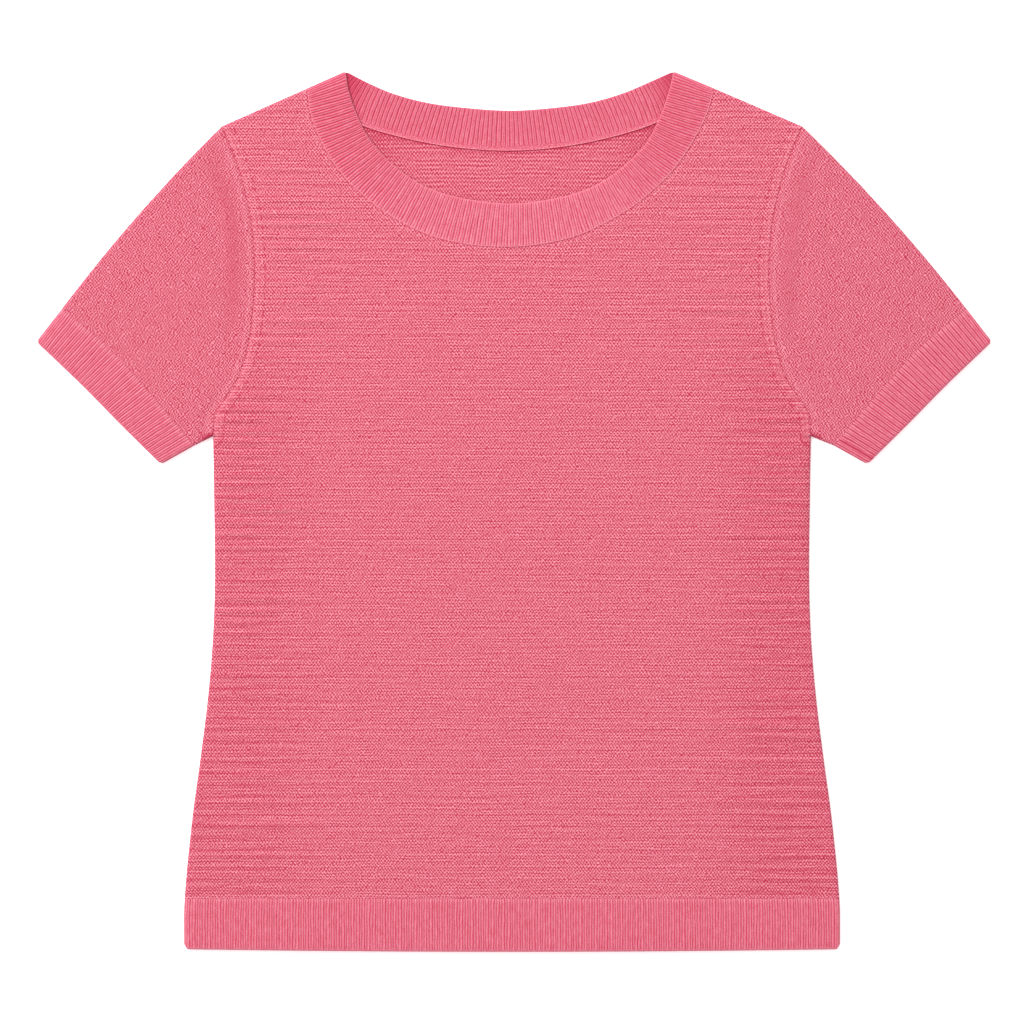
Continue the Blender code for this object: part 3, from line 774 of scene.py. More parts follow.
def cuff(name, node, hand, rise, finish):
    """A rib cuff: a flattened ring with ribs on its upper face, its edge rolled over."""
    seam, edge = cuff_line(CUFF_SEAM, hand), cuff_line(CUFF_EDGE, hand)
    inwards = seam.at(0.5) - edge.at(0.5)
    depth = np.linalg.norm(inwards)

    def row_at(level):
        curve = edge.towards(seam, level / depth)
        line = between_folds(curve)
        rib_rise = rise * rib_fade(level, depth)
        upper, place = rib_run(line, CUFF_RIBS, FRONT, rib_rise, level, 11 + hand)
        lower, lower_place = plain_run(lambda part: line(1 - part), CUFF_RIBS, BACK)
        corner = inwards / depth * corner_inset(level, CUFF_CORNER)
        top, underarm = ((line(end), curve.at(end) + corner) for end in (0.0, 1.0))
        counts = rib_counts(place, CUFF_RIBS, lower_place, CUFF_RIBS)
        return ring_row(upper, lower, top, underarm), rib_knit(counts, level)

    sheet = band(depth, row_at, FREE_RIB_DROP)
    return tube_shell(name, node, hand, sheet, finish)


# ---------------------------------------------------------------------------------
# Neckband and hems


def fold_turn(front_centre, back_centre, edge):
    """Wall points round the fold at a high neck point, from the front half to the back."""
    shares = np.linspace(0.0, 1.0, len(EDGE_ANGLES))[:, None]
    centres = front_centre + (back_centre - front_centre) * shares
    return fold_points(centres, edge, EDGE_ANGLES)


def neckband(name, front_rise, back_rise, finish):
    """The rib band: its front half on the front, its back half on the back, folded over
    at both high neck points.  The ribs that face up are raised on both halves."""
    shares = np.linspace(0.0, 1.0, NECK_COLUMNS)
    front_seam, front_edge, back_seam, back_edge = (
        Curve.through(neckline(rows).at(shares))
        for rows in (NECK_FRONT_SEAM, NECK_FRONT_EDGE, NECK_BACK_SEAM, NECK_BACK_EDGE)
    )
    right_in, left_in = unit(front_seam.points[[0, -1]] - front_edge.points[[0, -1]])

    def row_at(level):
        share, from_seam = level / NECK_DEPTH, NECK_DEPTH - level
        front = front_edge.towards(front_seam, share)
        back = back_edge.towards(back_seam, share).turned()
        front_line = between_folds(front, FRONT_FAN * (share - 0.5))
        back_line = between_folds(back, BACK_FAN * (share - 0.5), BACK_UPRIGHT * share)
        fade = rib_fade(level, NECK_DEPTH)
        above_ledge = max(0.0, (from_seam - LEDGE_START) / LEDGE_EASE)
        front_wall, place = rib_run(
            front_line, NECK_FRONT_RIBS, FRONT, front_rise * fade, level, 21
        )
        back_wall, back_place = rib_run(
            back_line, NECK_BACK_RIBS, BACK, back_rise * min(fade, above_ledge), level, 27
        )
        ledge = LEDGE_RISE * clipped((LEDGE_REACH - from_seam) / LEDGE_EASE)
        end_distance = np.minimum(back_place, NECK_BACK_RIBS - back_place)
        back_wall[1][:, 2] += ledge * clipped(end_distance / LEDGE_END_RIBS)
        corner = corner_inset(level, NECK_CORNER)
        left_edge, right_edge = front.at(1.0) + corner * left_in, front.at(0.0) + corner * right_in
        left_turn = fold_turn(front_line(1.0), back_line(0.0), left_edge)
        right_turn = fold_turn(back_line(1.0), front_line(0.0), right_edge)
        right_turn = tuple(squeezed(side, -1.0) for side in right_turn)
        first = tuple(side[:1] for side in front_wall)
        wall = joined(front_wall, left_turn, back_wall, right_turn, first)
        counts = rib_counts(place, NECK_FRONT_RIBS, back_place, NECK_BACK_RIBS)
        return wall, rib_knit(counts, level)

    sheet = band(NECK_DEPTH, row_at, NECK_FREE_DROP, NECK_LINKED_DROP)
    return shell(name, [sheet], finish, "neckband")


def lower_edge(across, half_width):
    """Height of the hem's lower edge: a slight bow, rounded up at its corners."""
    inset = np.clip(HEM_CORNER - (half_width - np.abs(across)), 0.0, HEM_CORNER)
    rounding = HEM_CORNER - np.sqrt(HEM_CORNER**2 - inset**2)
    return HEM_BOW * (across / half_width) ** 2 + rounding


def hem(name, node, layer, rise, finish):
    """A rib welt along one panel's lower edge, turned at its sides."""
    top = HEM_DEPTH - SEAM_GAP / 2
    angles = side_angles(layer)
    past = np.linspace(0.15, 0.9, FOLD_STEPS)

    def row_at(level):
        half = float(SIDE.at_up(level)[0])
        flat = half - FOLD_RADIUS

        def spot(across):
            across = np.asarray(across, float)
            up = level + lower_edge(across, half) * (1 - level / top)
            return np.stack([across, up], axis=-1)

        def line(share):
            return spot(flat * (2 * np.asarray(share, float) - 1))

        if layer == FRONT:
            wall, place = rib_run(line, HEM_RIBS, FRONT, rise * rib_fade(level, top), level, 41)
        else:
            wall, place = plain_run(line, HEM_RIBS, BACK)
        left_turn = fold_points(spot(flat), spot(half), angles)
        right_turn = fold_points(spot(-flat), spot(-half), angles[::-1])
        counts = np.concatenate([-past[::-1], place, HEM_RIBS + past])
        return joined(right_turn, wall, left_turn), rib_knit(counts, level)

    return shell(name, [band(top, row_at, FREE_RIB_DROP)], finish, node)


# ---------------------------------------------------------------------------------
# Sewing


def cord(name, seam, thread, finish, hand=1):
    """A round thread along a seam, closed at both ends by narrowing."""
    plan = seam.at(np.linspace(thread.start, thread.end, thread.points)) * (hand, 1)
    ripple = thread.ripple * np.sin(np.arange(thread.points) * 1.9)
    centres = placed(plan, thread.rise + ripple)
    along = unit(np.gradient(centres, axis=0))
    aside = unit(np.cross(along, (0.0, 0.0, 1.0)))
    upward = np.cross(aside, along)
    turn = np.linspace(0.0, 2 * np.pi, THREAD_SIDES, endpoint=False)
    taper = np.ones(len(centres))
    taper[[0, -1]] = 0.05
    taper[[1, -2]] = 0.7
    circle = np.cos(turn)[:, None] * aside[:, None] + np.sin(turn)[:, None] * upward[:, None]
    points = centres[:, None] + thread.radius * taper[:, None, None] * circle
    near = np.arange(len(centres) * THREAD_SIDES).reshape(-1, THREAD_SIDES)
    far = np.roll(near, -1, axis=1)
    faces = np.stack([near[:-1], far[:-1], far[1:], near[1:]], axis=-1).reshape(-1, 4)
    caps = np.stack([near[0, ::-1][::2], near[-1, ::2]])
    faces = np.concatenate([faces, caps])
    steps = np.linalg.norm(np.diff(centres, axis=0), axis=1)
    run = np.concatenate([[0.0], np.cumsum(steps)])[:, None]
    knit = np.stack(np.broadcast_arrays(turn * thread.radius * MM, run * MM), axis=-1)
    knit = knit.reshape(-1, 2)[faces.ravel()]
    return made_mesh(name, points.reshape(-1, 3) * MM, faces, knit, finish, None)


def neck_cords(finish):
    """The linking threads that cover the neckband's seams, on the front and inside the back."""
    front = neckline(NECK_FRONT_SEAM).moved(SEAM_GAP / 2)
    back = neckline(NECK_BACK_SEAM).moved(BACK_THREAD_INSET)
    cord("neck_thread_front", front, FRONT_NECK_THREAD, finish)
    cord("neck_thread_back", back, BACK_NECK_THREAD, finish)


def armhole_cords(finish):
    """The linking threads deep in the armhole seams, on the upper side."""
    seam = ARMHOLE.moved(SEAM_GAP / 2)
    for side, hand in HANDS:
        cord(f"{side}_armhole_thread", seam, ARMHOLE_THREAD, finish, hand)


# ---------------------------------------------------------------------------------
# Finishes
#
# Places on a finish are in millimetres, or in ribs where they are a count.  The other
# numbers are shares of the tone, which runs from the hollows between loops to their tops.


class Value:
    """A socket of a finish's nodes that takes part in Python arithmetic."""

    def __init__(self, finish, socket):
        self.finish = finish
        self.socket = socket

    def math(self, operation, *others):
        inputs = dict(enumerate((self, *others)))
        return self.finish.node("ShaderNodeMath", {"operation": operation}, inputs)

    def __add__(self, other):
        return self.math("ADD", other)

    __radd__ = __add__

    def __mul__(self, other):
        return self.math("MULTIPLY", other)

    __rmul__ = __mul__

    def __sub__(self, other):
        return self.math("SUBTRACT", other)

    def __rsub__(self, other):
        return self.finish.node("ShaderNodeMath", {"operation": "SUBTRACT"}, {0: other, 1: self})

    def __truediv__(self, other):
        return self.math("DIVIDE", other)

    def cosine(self):
        return self.math("COSINE")

    def size(self):
        return self.math("ABSOLUTE")

    def fraction(self):
        return self.math("FRACT")

    def power(self, exponent):
        return self.math("POWER", exponent)

    def smooth(self, low, high, start=0.0, end=1.0):
        """Eases from start to end while the value goes from low to high."""
        inputs = {"Value": self, "From Min": low, "From Max": high, "To Min": start, "To Max": end}
        return self.finish.node("ShaderNodeMapRange", {"interpolation_type": "SMOOTHSTEP"}, inputs)


# The shine of the yarn: the settings of its shader that are the same all over
YARN_SHINE = {
    "Roughness": 0.9,
    "Specular IOR Level": 0.25,
    "Sheen Weight": 0.08,
    "Sheen Roughness": 0.5,
    "Sheen Tint": (1.0, 0.6, 0.7, 1.0),
}


def shaded(name, settings):
    """A new material and its shader, with some of its sockets set."""
    material = bpy.data.materials.new(name)
    material.use_nodes = True
    shader = material.node_tree.nodes["Principled BSDF"]
    for socket, value in settings.items():
        shader.inputs[socket].default_value = value
    return material, shader


class Finish:
    """A knit material, and the nodes that colour and roughen it."""

    def __init__(self, name):
        self.material, self.shader = shaded(name, YARN_SHINE)
        self.tree = self.material.node_tree

    def node(self, kind, settings=None, inputs=None, output=0):
        """Adds a node: its settings first, then values or links for its sockets."""
        made = self.tree.nodes.new(kind)
        for key, value in (settings or {}).items():
            setattr(made, key, value)
        for key, value in (inputs or {}).items():
            if isinstance(value, Value):
                self.tree.links.new(value.socket, made.inputs[key])
            else:
                made.inputs[key].default_value = value
        return Value(self, made.outputs[output])

    def places(self, layer="knit", across=1 / MM):
        """A layer's coordinates: across times a scale, and up in millimetres."""
        uv = self.node("ShaderNodeUVMap", {"uv_map": layer})
        split = self.node("ShaderNodeSeparateXYZ", None, {0: uv})
        other = Value(self, split.socket.node.outputs[1])
        return split * across, other * (1 / MM)

    def noise(self, x, y, z=0.0):
        """Uneven values round 0.5 over a pair of coordinates."""
        place = self.node("ShaderNodeCombineXYZ", None, {0: x, 1: y, 2: z})
        inputs = {"Vector": place, "Scale": 1.0, "Detail": 1.0, "Roughness": 0.5}
        return self.node("ShaderNodeTexNoise", {"noise_dimensions": "3D"}, inputs)

    def knitted(self, tone, colour, look):
        """Gives the shader its colour, from the hollows' to the tops', and the stitches'
        relief."""
        low, high = shade(colour, look.deep), shade(colour, look.pale)
        inputs = {0: tone.power(1.4), 6: (*low, 1.0), 7: (*high, 1.0)}
        settings = {"data_type": "RGBA", "clamp_factor": True}
        yarn = self.node("ShaderNodeMix", settings, inputs, output=2)
        self.tree.links.new(yarn.socket, self.shader.inputs["Base Color"])
        inputs = {"Strength": 1.0, "Distance": look.depth * MM, "Height": tone}
        bump = self.node("ShaderNodeBump", None, inputs)
        self.tree.links.new(bump.socket, self.shader.inputs["Normal"])
        return self.material


def shade(colour, factors):
    """A colour with each channel times its factor."""
    return tuple(min(1.0, channel * factor) for channel, factor in zip(colour, factors))


TURN = 2 * math.pi
UNDERARM_SLOPE = 0.466

# The yarn in the hollows between the loops and on their tops, as shares of its colour,
# and the stitches' relief in millimetres
Look = namedtuple("Look", "deep pale depth")
KNIT_LOOK = Look((0.68, 0.21, 0.37), (1.22, 2.55, 1.95), 0.10)
RIB_LOOK = Look((0.80, 0.30, 0.46), (1.14, 1.95, 1.66), 0.08)
THREAD_LOOK = Look((0.90, 0.60, 0.70), (1.10, 1.40, 1.28), 0.05)

# Shares of the yarn's colour inside the body and on the linking threads
INSIDE_TINT = (0.985, 0.93, 0.95)
# The neck thread is paler, partly a painted highlight on its raised round, and the armhole thread
# darker, painted shade deep in the seam
NECK_THREAD_TINT = (1.14, 1.58, 1.42)
ARMHOLE_THREAD_TINT = (0.8, 0.35, 0.5)

# Plain knit, in millimetres: width of a loop, height of a row, spacing of the courses, how
# far they show, how far the loops sway out of line, and how far the lines of painted
# light and shade show that small ripples across the cloth would make
Loops = namedtuple("Loops", "width row course course_tone sway striae", defaults=(0.0,))
NECK_THREAD_LOOPS = Loops(2.0, 1.3, 1.6, 0.1, 1.0)
ARMHOLE_THREAD_LOOPS = Loops(1.4, 0.9, 1.6, 0.2, 1.0)
FINE_LINES = 4.1
BROAD_LINES = 7.3


def striae(finish, u, v, seed):
    """Fine and broad lines of painted light and shade across the cloth, as its small ripples
    would show, stronger towards its sides.
    """
    bowed = v + (finish.noise(u / 80, v / 14, seed + 27.0) - 0.5) * 4.0
    fine_patch = finish.noise(u / 60, v / 9, seed + 21.0).smooth(0.25, 0.65)
    fine = (bowed * (TURN / FINE_LINES)).cosine() * fine_patch
    swayed = v + (finish.noise(u / 70, v / 20, seed + 23.0) - 0.5) * 7.0
    broad_patch = finish.noise(u / 50, v / 12, seed + 25.0).smooth(0.25, 0.65)
    broad = (swayed * (TURN / BROAD_LINES)).cosine() * broad_patch
    beside = (u.size() + v.smooth(60, 110) * 40).smooth(120, 190)
    low_sides = beside * v.smooth(120, 60, 0.02, 0.10)
    broad_share = v.size().smooth(60, 200) * 0.03 + low_sides + 0.02
    return fine * (beside * 0.04 + 0.105) + broad * broad_share


def plain_knit_finish(name, colour, look, loops, seed, seam=None):
    """Fine plain knit: offset rows of small loops, with uneven courses and thin slubs."""
    finish = Finish(name)
    u, v = finish.places()
    noise = finish.noise
    aside = noise(u / 5.2, v / 4.6, seed)
    along = noise(u / 6.4, v / 4.2, seed + 17.3)
    drift = (noise(u / 40, v / 18, seed + 31.0) - 0.5) * 2.0
    near = noise(u / 2.3, v / 1.9, seed + 41.0)
    su = u + (aside - 0.5) * loops.sway + (near - 0.5) * 1.4
    sv = v + (along - 0.5) * loops.sway * 0.8 + drift - (near - 0.5) * 1.2
    dots = (su * (TURN / loops.width)).cosine() * (sv * (TURN / 2 / loops.row)).cosine()
    courses = ((v + drift + (along - 0.5) * 0.8) * (TURN / loops.course)).cosine()
    patch = noise(u / 16, v / 6, seed + 9.9).smooth(0.36, 0.62)
    grain = noise(u / 0.78, v / 0.72, seed + 3.1)
    slub = noise(u / 8, (v + drift) / 0.95, seed + 5.7)
    slubs = slub.smooth(0.62, 0.80) * 0.20, slub.smooth(0.38, 0.22) * 0.20
    mottle = noise(u / 10, v / 8, seed + 13.0)
    change, calm = seam(finish) if seam else (0.0, 0.0)
    dots = dots * (0.60 + patch * 0.2) * (1 - calm)
    tone = 0.5 + change + dots + courses * patch * loops.course_tone + (grain - 0.5) * 1.1
    tone = tone + slubs[0] - slubs[1] + (mottle - 0.5) * 0.06
    tone = tone + striae(finish, u, v, seed) * loops.striae
    return finish.knitted(tone, colour, look)


def hump(value, low, high):
    """A soft rise to one and back between two values."""
    middle = (low + high) / 2
    return value.smooth(low, middle) * value.smooth(high, middle)


def body_seam(finish):
    """Beside the armhole: a paler line of linked loops, and small marks of narrowing.
    Below the neckband: painted shade in a dotted dark line, and pale loops.  Under the arms: a
    faint painted shade."""
    away, up = finish.places("armhole")
    low = up.smooth(428, 396)
    linked = hump(away, 0.4, 3.6) * 0.16 + hump(away, 0.0, 6.5) * low * 0.07
    calm = linked + hump(away, 0.0, 6.5) * low * 0.6
    step = (up * (TURN / 6.4) + finish.noise(up / 9, 0.0, 3.0) * 5.0).cosine()
    loop = hump(away + step * 0.6, 4.6, 6.6) * step.smooth(0.35, 0.9)
    hole = hump(away, 6.2, 8.0) * step.smooth(0.1, -0.7)
    below, run = finish.places("neckline")
    beat = (run * (TURN / 4.3) + finish.noise(run / 8, 0.0, 5.0) * 5.0).cosine()
    # A dotted dark line beside the linking thread: painted shade
    line = hump(below, 0.1, 1.7) * beat.smooth(-0.8, 0.3)
    bead = hump(below + beat * 0.4, 2.0, 4.4) * beat.smooth(0.2, 0.9)
    across, _ = finish.places()
    # Painted shade under the arms, a little stronger on the wearer's left
    painted_underarm_shade = across.smooth(120, 180, 0.0, 0.12) + across.smooth(-120, -185, 0.0, 0.08)
    painted_underarm_shade = painted_underarm_shade * hump(up, 290, 450)
    return linked + (loop - hole) * 0.5 - line * 0.25 + bead * 0.4 - painted_underarm_shade, calm


def sleeve_seam(finish, painted_hollow_shade):
    """Beside the armhole: a paler line of linked loops, then painted shade in a hollow, and
    uneven marks of painted shade along the underarm fold."""
    away, up = finish.places("armhole")
    uneven = finish.noise(away / 4, 0.0, 9.0) * 2.4
    above_fold = up - ARMPIT_UP + away * UNDERARM_SLOPE + uneven
    # Painted shade along the underarm fold, broken up unevenly along it
    under = above_fold.smooth(6.0, 1.8) * 0.75
    linked = hump(away, 1.2, 6.0) * 0.14
    hollow = hump(away, 4.5, 24.0) * up.smooth(404.0, 452.0) * up.smooth(574.0, 520.0)
    return linked - hollow * painted_hollow_shade - under, hollow * 0.55


def neck_shade(finish):
    """Inside the back neck: painted shade under the neckband's two folds, and a painted
    shadow line under the back half's linking thread.
    """
    across, up = finish.places()
    below, _ = finish.places("neckline")
    # A dark line and a softer band of painted shadow just below the back neckline
    shade_under = below.smooth(1.7, 0.6) * 0.7 + below.smooth(5.0, 1.5) * 0.15
    return across.size().smooth(58, 110) * up.smooth(212, 262) * -0.24 - shade_under, 0.0


# Rib knit: depth of the band, how dark the grooves between the ribs and the line down
# each rib are, and how far from the free edge they end.  Then come places in the rib
# count, where there are any: where the face inside the neck starts, where the fold whose
# lines fade starts, and the last rib before the fold that lies in shade.
NO_RIB = -9
Ribs = namedtuple(
    "Ribs", "depth groove crease end inside fold shaded", defaults=(0, NO_RIB, NO_RIB)
)
HEM_LOOK = Ribs(36.0, 0.48, 0.88, 2.2)
CUFF_LOOK = Ribs(29.0, 0.86, 0.84, 1.0, fold=2 * CUFF_RIBS + FOLD_RIBS)
# The wearer's left cuff gets painted shade: deeper grooves and a dark last groove before its
# underarm fold
LEFT_CUFF_LOOK = CUFF_LOOK._replace(groove=1.75, crease=0.62, shaded=CUFF_RIBS)
NECK_LOOK = Ribs(NECK_DEPTH, 0.74, 0.58, 0.9, NECK_FRONT_RIBS + FOLD_RIBS, NECK_FRONT_RIBS)


def rib_finish(name, colour, ribs, seed):
    """Rib knit: fine dark lines between the ribs and down each rib, which end a little
    before the free edge, and paler loops where the ribs start."""
    finish = Finish(name)
    count, v = finish.places(across=1.0)
    uneven = finish.noise(count * 0.9, v / 12, seed + 4.0)
    lean = finish.noise(count * 1.3, v / 9, seed + 8.0)
    away = ((count + (lean - 0.5) * 0.22).fraction() - 0.5).size()
    groove = away.smooth(0.33, 0.5) * (0.4 + uneven * 1.2) * ribs.groove
    crease = away.smooth(0.17, 0.0) * (0.25 + uneven * 1.5) * ribs.crease
    # Painted shade next to the underarm fold: stronger lines over the last ribs and a dark last
    # groove
    shaded_end = hump(count, ribs.shaded - 4.5, ribs.shaded + 1.6)
    last_groove = hump(count, ribs.shaded - 1.4, ribs.shaded - 0.6)
    grain = finish.noise(count * 3.2, v / 0.85, seed)
    streak = finish.noise(count * 2.1, v / 5.5, seed + 12.0)
    turned = hump(count, ribs.fold, ribs.fold + FOLD_RIBS)
    lines = v.smooth(ribs.end * 0.35, ribs.end) * (1 - turned * 0.8) * (1 + shaded_end * 0.3)
    start = v.smooth(ribs.depth - 3.2, ribs.depth - 0.8)
    tone = 0.74 + (grain - 0.5) * 0.8 + (streak - 0.5) * 0.5 + start * 0.12
    if ribs.inside:
        sides = (count - NECK_FRONT_RIBS / 2).size().smooth(18, 42)
        tone = tone - sides * 0.11
        last = ribs.inside + NECK_BACK_RIBS
        back = count.smooth(ribs.inside - 1.0, ribs.inside) * count.smooth(last + 0.7, last)
        crease = crease * (1 - back * 0.55)
        groove = groove * (back * 0.6 + 1)
        strip = back * v.smooth(ribs.depth - 3.6, ribs.depth - 2.8)
        half = NECK_BACK_RIBS / 2
        # Painted shade on the back half where it runs into the folds at the shoulders
        tip = back * (count - (ribs.inside + half)).size().smooth(half - 10.0, half)
        # Painted shade on the band's ends on one side: deeper lines and a darker tip
        painted_shade_side = count.smooth(45, 15) + count.smooth(150, 175)
        lines = lines * (1 - strip) * (1 + sides * 0.3 + painted_shade_side * 0.3 + tip * 0.8)
        tone = tone - tip * (0.43 + painted_shade_side * 0.25) - strip * (0.72 - grain)
    tone = tone - (groove + crease) * lines - last_groove
    return finish.knitted(tone, colour, RIB_LOOK)


# ---------------------------------------------------------------------------------
# Settings, operators and their panel


def length_setting(name, description, default):
    """A length in millimetres that a user can change."""
    settings = {"default": default * MM, "min": 0.0, "unit": "LENGTH", "precision": 5}
    return FloatProperty(name=name, description=description, **settings)


def colour_setting(name, description, default):
    """A colour that a user can change."""
    settings = {"default": default, "size": 3, "min": 0.0, "max": 1.0, "subtype": "COLOR"}
    return FloatVectorProperty(name=name, description=description, **settings)


class SweaterSizes(PropertyGroup):
    """Sizes of the ribs, the swell and the loops"""

    rib_rise: length_setting("Rib Rise", "Ribs' height on hem, cuffs and front neckband", 0.6)
    back_rib_rise: length_setting("Back Rib Rise", "Ribs' height inside the back neckband", 0.5)
    swell: length_setting("Swell", "Height of the body's faint uneven swell", 0.12)
    stitch: length_setting("Stitch Width", "Width of one loop of the plain knit", 2.2)
    row: length_setting("Row Height", "Height of one row of the plain knit", 1.29)


class SweaterColours(PropertyGroup):
    """Colours of the yarn, piece by piece"""

    body: colour_setting("Body", "Yarn colour of front and back", (0.570, 0.091, 0.150))
    sleeve: colour_setting("Sleeves", "Yarn colour of the sleeves", (0.556, 0.089, 0.148))
    rib: colour_setting("Ribs", "Yarn colour of neckband and cuffs", (0.580, 0.117, 0.177))
    hem: colour_setting("Hem", "Yarn colour of the hem", (0.568, 0.107, 0.164))


class SweaterStage(PropertyGroup):
    """The floor, the lights and the camera's height"""

    floor: colour_setting("Floor", "Colour of the floor", (0.96, 0.96, 0.96))
    floor_glow: FloatProperty(
        name="Floor Glow", description="Strength of the floor's own light", default=0.35, min=0.0
    )
    light: FloatProperty(
        name="Key Light",
        description="Power of the main light",
        default=375.0,
        min=0.0,
        unit="POWER",
    )
    sky: FloatProperty(
        name="Sky", description="Strength of the light from all round", default=0.81, min=0.0
    )
    camera_height: FloatProperty(
        name="Camera Height",
        description="Height of the camera above the floor",
        default=6.0,
        min=1.0,
        unit="LENGTH",
    )


# The stage, in metres: the floor, the main light, what the camera looks at, the width of
# its view there, and how far it sees
FLOOR_SIZE = 30.0
FLOOR_DROP = 0.0002
LIGHT_PLACE = (-2.4, 3.2, 4.2)
LIGHT_SIZE = 3.2
VIEW_CENTRE = (-0.0015, -0.0003)
VIEW_HEIGHT = 0.004
VIEW_WIDTH = 0.6989
VIEW_REACH = (0.1, 100.0)
WHITE = (1.0, 1.0, 1.0, 1.0)


def settings_of(context):
    """The sweater's sizes and colours."""
    return context.scene.sweater_sizes, context.scene.sweater_colours


def stitch_of(sizes):
    """Width of a loop and height of a row, in millimetres."""
    return sizes.stitch / MM, sizes.row / MM


class SWEATER_OT_panels(Operator):
    """Builds the plain knit front and back"""

    bl_idname = "sweater.panels"
    bl_label = "Front and Back"

    def execute(self, context):
        sizes, colours = settings_of(context)
        stitch, row = stitch_of(sizes)
        swell = sizes.swell / MM
        face = Loops(stitch, row, 2.0, 0.32, 2.5, 1.0)
        inside = Loops(stitch, 1.1 * row, 2.9, 0.34, 1.4, 0.4)
        inside_colour = shade(colours.body, INSIDE_TINT)
        front_finish = plain_knit_finish(
            "body_front_knit", colours.body, KNIT_LOOK, face, 0.0, body_seam
        )
        back_finish = plain_knit_finish(
            "body_back_knit", inside_colour, KNIT_LOOK, inside, 30.0, neck_shade
        )

        def front_lift(plan):
            return ridge_lift(plan) + soft_swell(plan, swell)

        def back_lift(plan):
            return 0.5 * ridge_lift(plan * (-1, 1))

        front_neck = neckline(NECK_FRONT_SEAM).moved(SEAM_GAP)
        back_neck = neckline(NECK_BACK_SEAM).moved(SEAM_GAP)
        front = panel(
            "front_panel", "front", FRONT, front_neck, front_lift, FRONT_NECK_DROP, front_finish
        )
        back = panel(
            "back_panel", "back", BACK, back_neck, back_lift, BACK_NECK_DROP, back_finish
        )
        return {"FINISHED"}


class SWEATER_OT_sleeves(Operator):
    """Builds the two short set-in sleeves"""

    bl_idname = "sweater.sleeves"
    bl_label = "Sleeves"

    def execute(self, context):
        sizes, colours = settings_of(context)
        stitch, row = stitch_of(sizes)
        loops = Loops(0.97 * stitch, 0.97 * row, 2.0, 0.05, 3.8)
        for side, hand in HANDS:

            # How much painted shade lies in the hollow beside the armhole: less on the wearer's
            # left sleeve
            def seam(finish, painted_hollow_shade=0.05 - 0.03 * hand):
                return sleeve_seam(finish, painted_hollow_shade)

            finish = plain_knit_finish(
                f"sleeve_{side}_knit", colours.sleeve, KNIT_LOOK, loops, 50.0 + hand, seam
            )
            piece = sleeve(f"{side}_sleeve", f"sleeve_{side}", hand, finish)
        return {"FINISHED"}


class SWEATER_OT_cuffs(Operator):
    """Builds the two rib cuffs"""

    bl_idname = "sweater.cuffs"
    bl_label = "Cuffs"

    def execute(self, context):
        sizes, colours = settings_of(context)
        for (side, hand), look in zip(HANDS, (LEFT_CUFF_LOOK, CUFF_LOOK)):
            finish = rib_finish(f"cuff_{side}_rib", colours.rib, look, 70.0)
            piece = cuff(f"{side}_cuff", f"cuff_{side}", hand, sizes.rib_rise / MM, finish)
        return {"FINISHED"}


class SWEATER_OT_neckband(Operator):
    """Builds the rib neckband, folded over at both shoulders, and its linking threads"""

    bl_idname = "sweater.neckband"
    bl_label = "Neckband"

    def execute(self, context):
        sizes, colours = settings_of(context)
        finish = rib_finish("neckband_rib", colours.rib, NECK_LOOK, 80.0)
        piece = neckband("neck_rib", sizes.rib_rise / MM, sizes.back_rib_rise / MM, finish)
        neck_colour = shade(colours.rib, NECK_THREAD_TINT)
        neck_cords(
            plain_knit_finish("neck_thread", neck_colour, THREAD_LOOK, NECK_THREAD_LOOPS, 90.0)
        )
        seam_colour = shade(colours.body, ARMHOLE_THREAD_TINT)
        armhole_cords(
            plain_knit_finish("seam_thread", seam_colour, RIB_LOOK, ARMHOLE_THREAD_LOOPS, 95.0)
        )
        return {"FINISHED"}


class SWEATER_OT_hems(Operator):
    """Builds the rib welts along the lower edge"""

    bl_idname = "sweater.hems"
    bl_label = "Hem"

    def execute(self, context):
        sizes, colours = settings_of(context)
        finish = rib_finish("hem_rib", colours.hem, HEM_LOOK, 60.0)
        rise = sizes.rib_rise / MM
        front = hem("front_hem", "hem_front", FRONT, rise, finish)
        back = hem("back_hem", "hem_back", BACK, rise, finish)
        return {"FINISHED"}


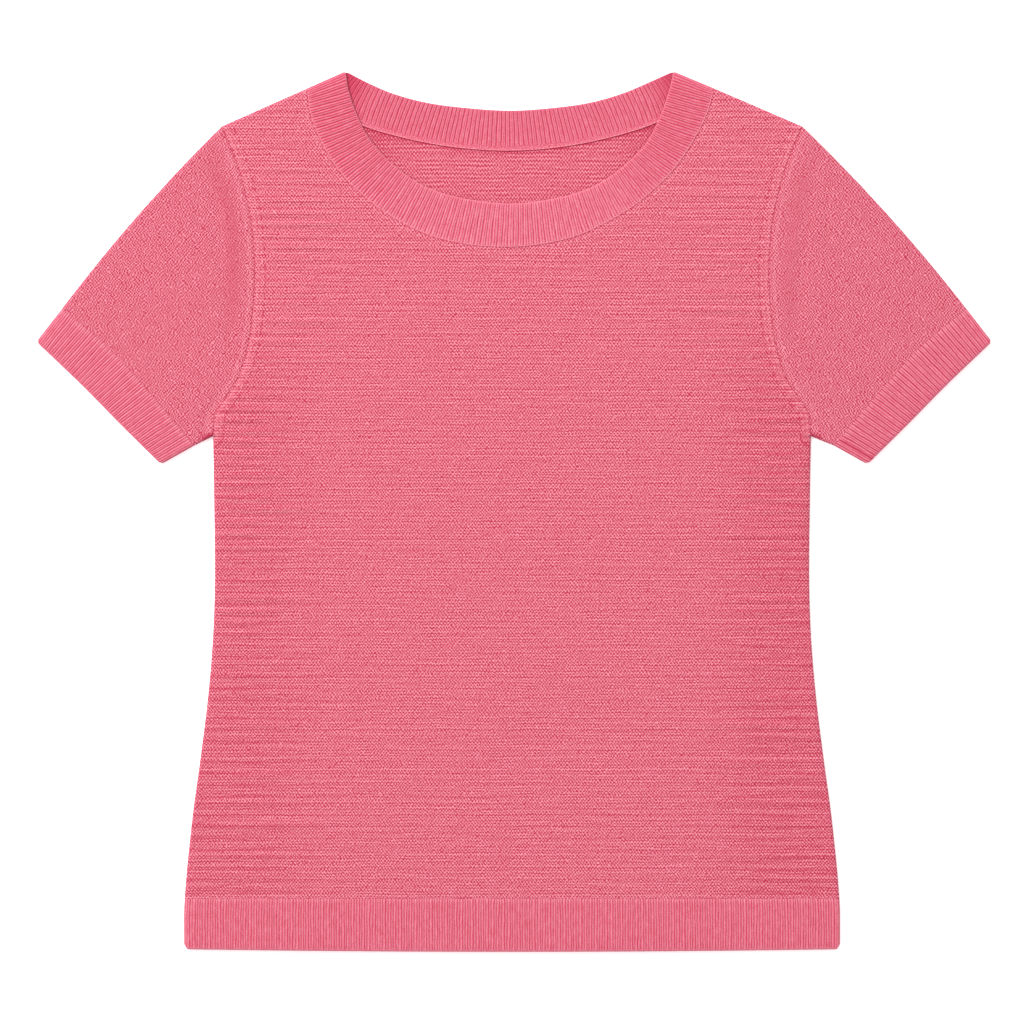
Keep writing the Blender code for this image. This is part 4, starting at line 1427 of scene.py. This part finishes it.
class SWEATER_OT_stage(Operator):
    """Makes the pale floor, the soft lights and the camera"""

    bl_idname = "sweater.stage"
    bl_label = "Stage"

    def execute(self, context):
        scene, stage = context.scene, context.scene.sweater_stage
        bpy.ops.mesh.primitive_plane_add(size=FLOOR_SIZE, location=(0.0, 0.0, -FLOOR_DROP))
        floor = context.active_object
        floor.name = "floor"
        paint = {
            "Base Color": (*stage.floor, 1.0),
            "Roughness": 0.9,
            "Emission Color": WHITE,
            "Emission Strength": stage.floor_glow,
        }
        floor.data.materials.append(shaded("floor_paint", paint)[0])
        world = bpy.data.worlds.new("studio")
        world.use_nodes = True
        sky = world.node_tree.nodes["Background"].inputs
        sky["Color"].default_value, sky["Strength"].default_value = WHITE, stage.sky
        scene.world = world
        light = bpy.data.lights.new("key_light", "AREA")
        light.energy, light.size = stage.light, LIGHT_SIZE
        key = bpy.data.objects.new("key_light", light)
        key.location = LIGHT_PLACE
        key.rotation_euler = (-key.location).to_track_quat("-Z", "Y").to_euler()
        scene.collection.objects.link(key)
        lens = bpy.data.cameras.new("camera")
        lens.clip_start, lens.clip_end = VIEW_REACH
        lens.lens = lens.sensor_width * (stage.camera_height - VIEW_HEIGHT) / VIEW_WIDTH
        camera = bpy.data.objects.new("camera", lens)
        camera.location = (*VIEW_CENTRE, stage.camera_height)
        scene.collection.objects.link(camera)
        scene.camera = camera
        scene.view_settings.view_transform = "Standard"
        return {"FINISHED"}


class SWEATER_PT_builder(Panel):
    """Lists the sweater's settings and the pieces that it can build"""

    bl_label = "Crew Neck Sweater"
    bl_space_type = "VIEW_3D"
    bl_region_type = "UI"
    bl_category = "Sweater"

    def draw(self, context):
        layout = self.layout
        for group in (*settings_of(context), context.scene.sweater_stage):
            box = layout.box()
            for name in group.__annotations__:
                box.prop(group, name)
        for operator in OPERATORS:
            layout.operator(operator.bl_idname)


OPERATORS = (
    SWEATER_OT_panels,
    SWEATER_OT_sleeves,
    SWEATER_OT_cuffs,
    SWEATER_OT_neckband,
    SWEATER_OT_hems,
    SWEATER_OT_stage,
)
CLASSES = (SweaterSizes, SweaterColours, SweaterStage, *OPERATORS, SWEATER_PT_builder)


def register():
    """Adds the classes, and the sweater's settings to the scene."""
    for cls in CLASSES:
        bpy.utils.register_class(cls)
    bpy.types.Scene.sweater_sizes = PointerProperty(type=SweaterSizes)
    bpy.types.Scene.sweater_colours = PointerProperty(type=SweaterColours)
    bpy.types.Scene.sweater_stage = PointerProperty(type=SweaterStage)


def unregister():
    """Takes the settings and the classes away again."""
    del bpy.types.Scene.sweater_stage
    del bpy.types.Scene.sweater_colours
    del bpy.types.Scene.sweater_sizes
    for cls in reversed(CLASSES):
        bpy.utils.unregister_class(cls)


def main():
    register()
    bpy.ops.sweater.panels()
    bpy.ops.sweater.sleeves()
    bpy.ops.sweater.cuffs()
    bpy.ops.sweater.neckband()
    bpy.ops.sweater.hems()
    bpy.ops.sweater.stage()


if __name__ == "__main__":
    main()
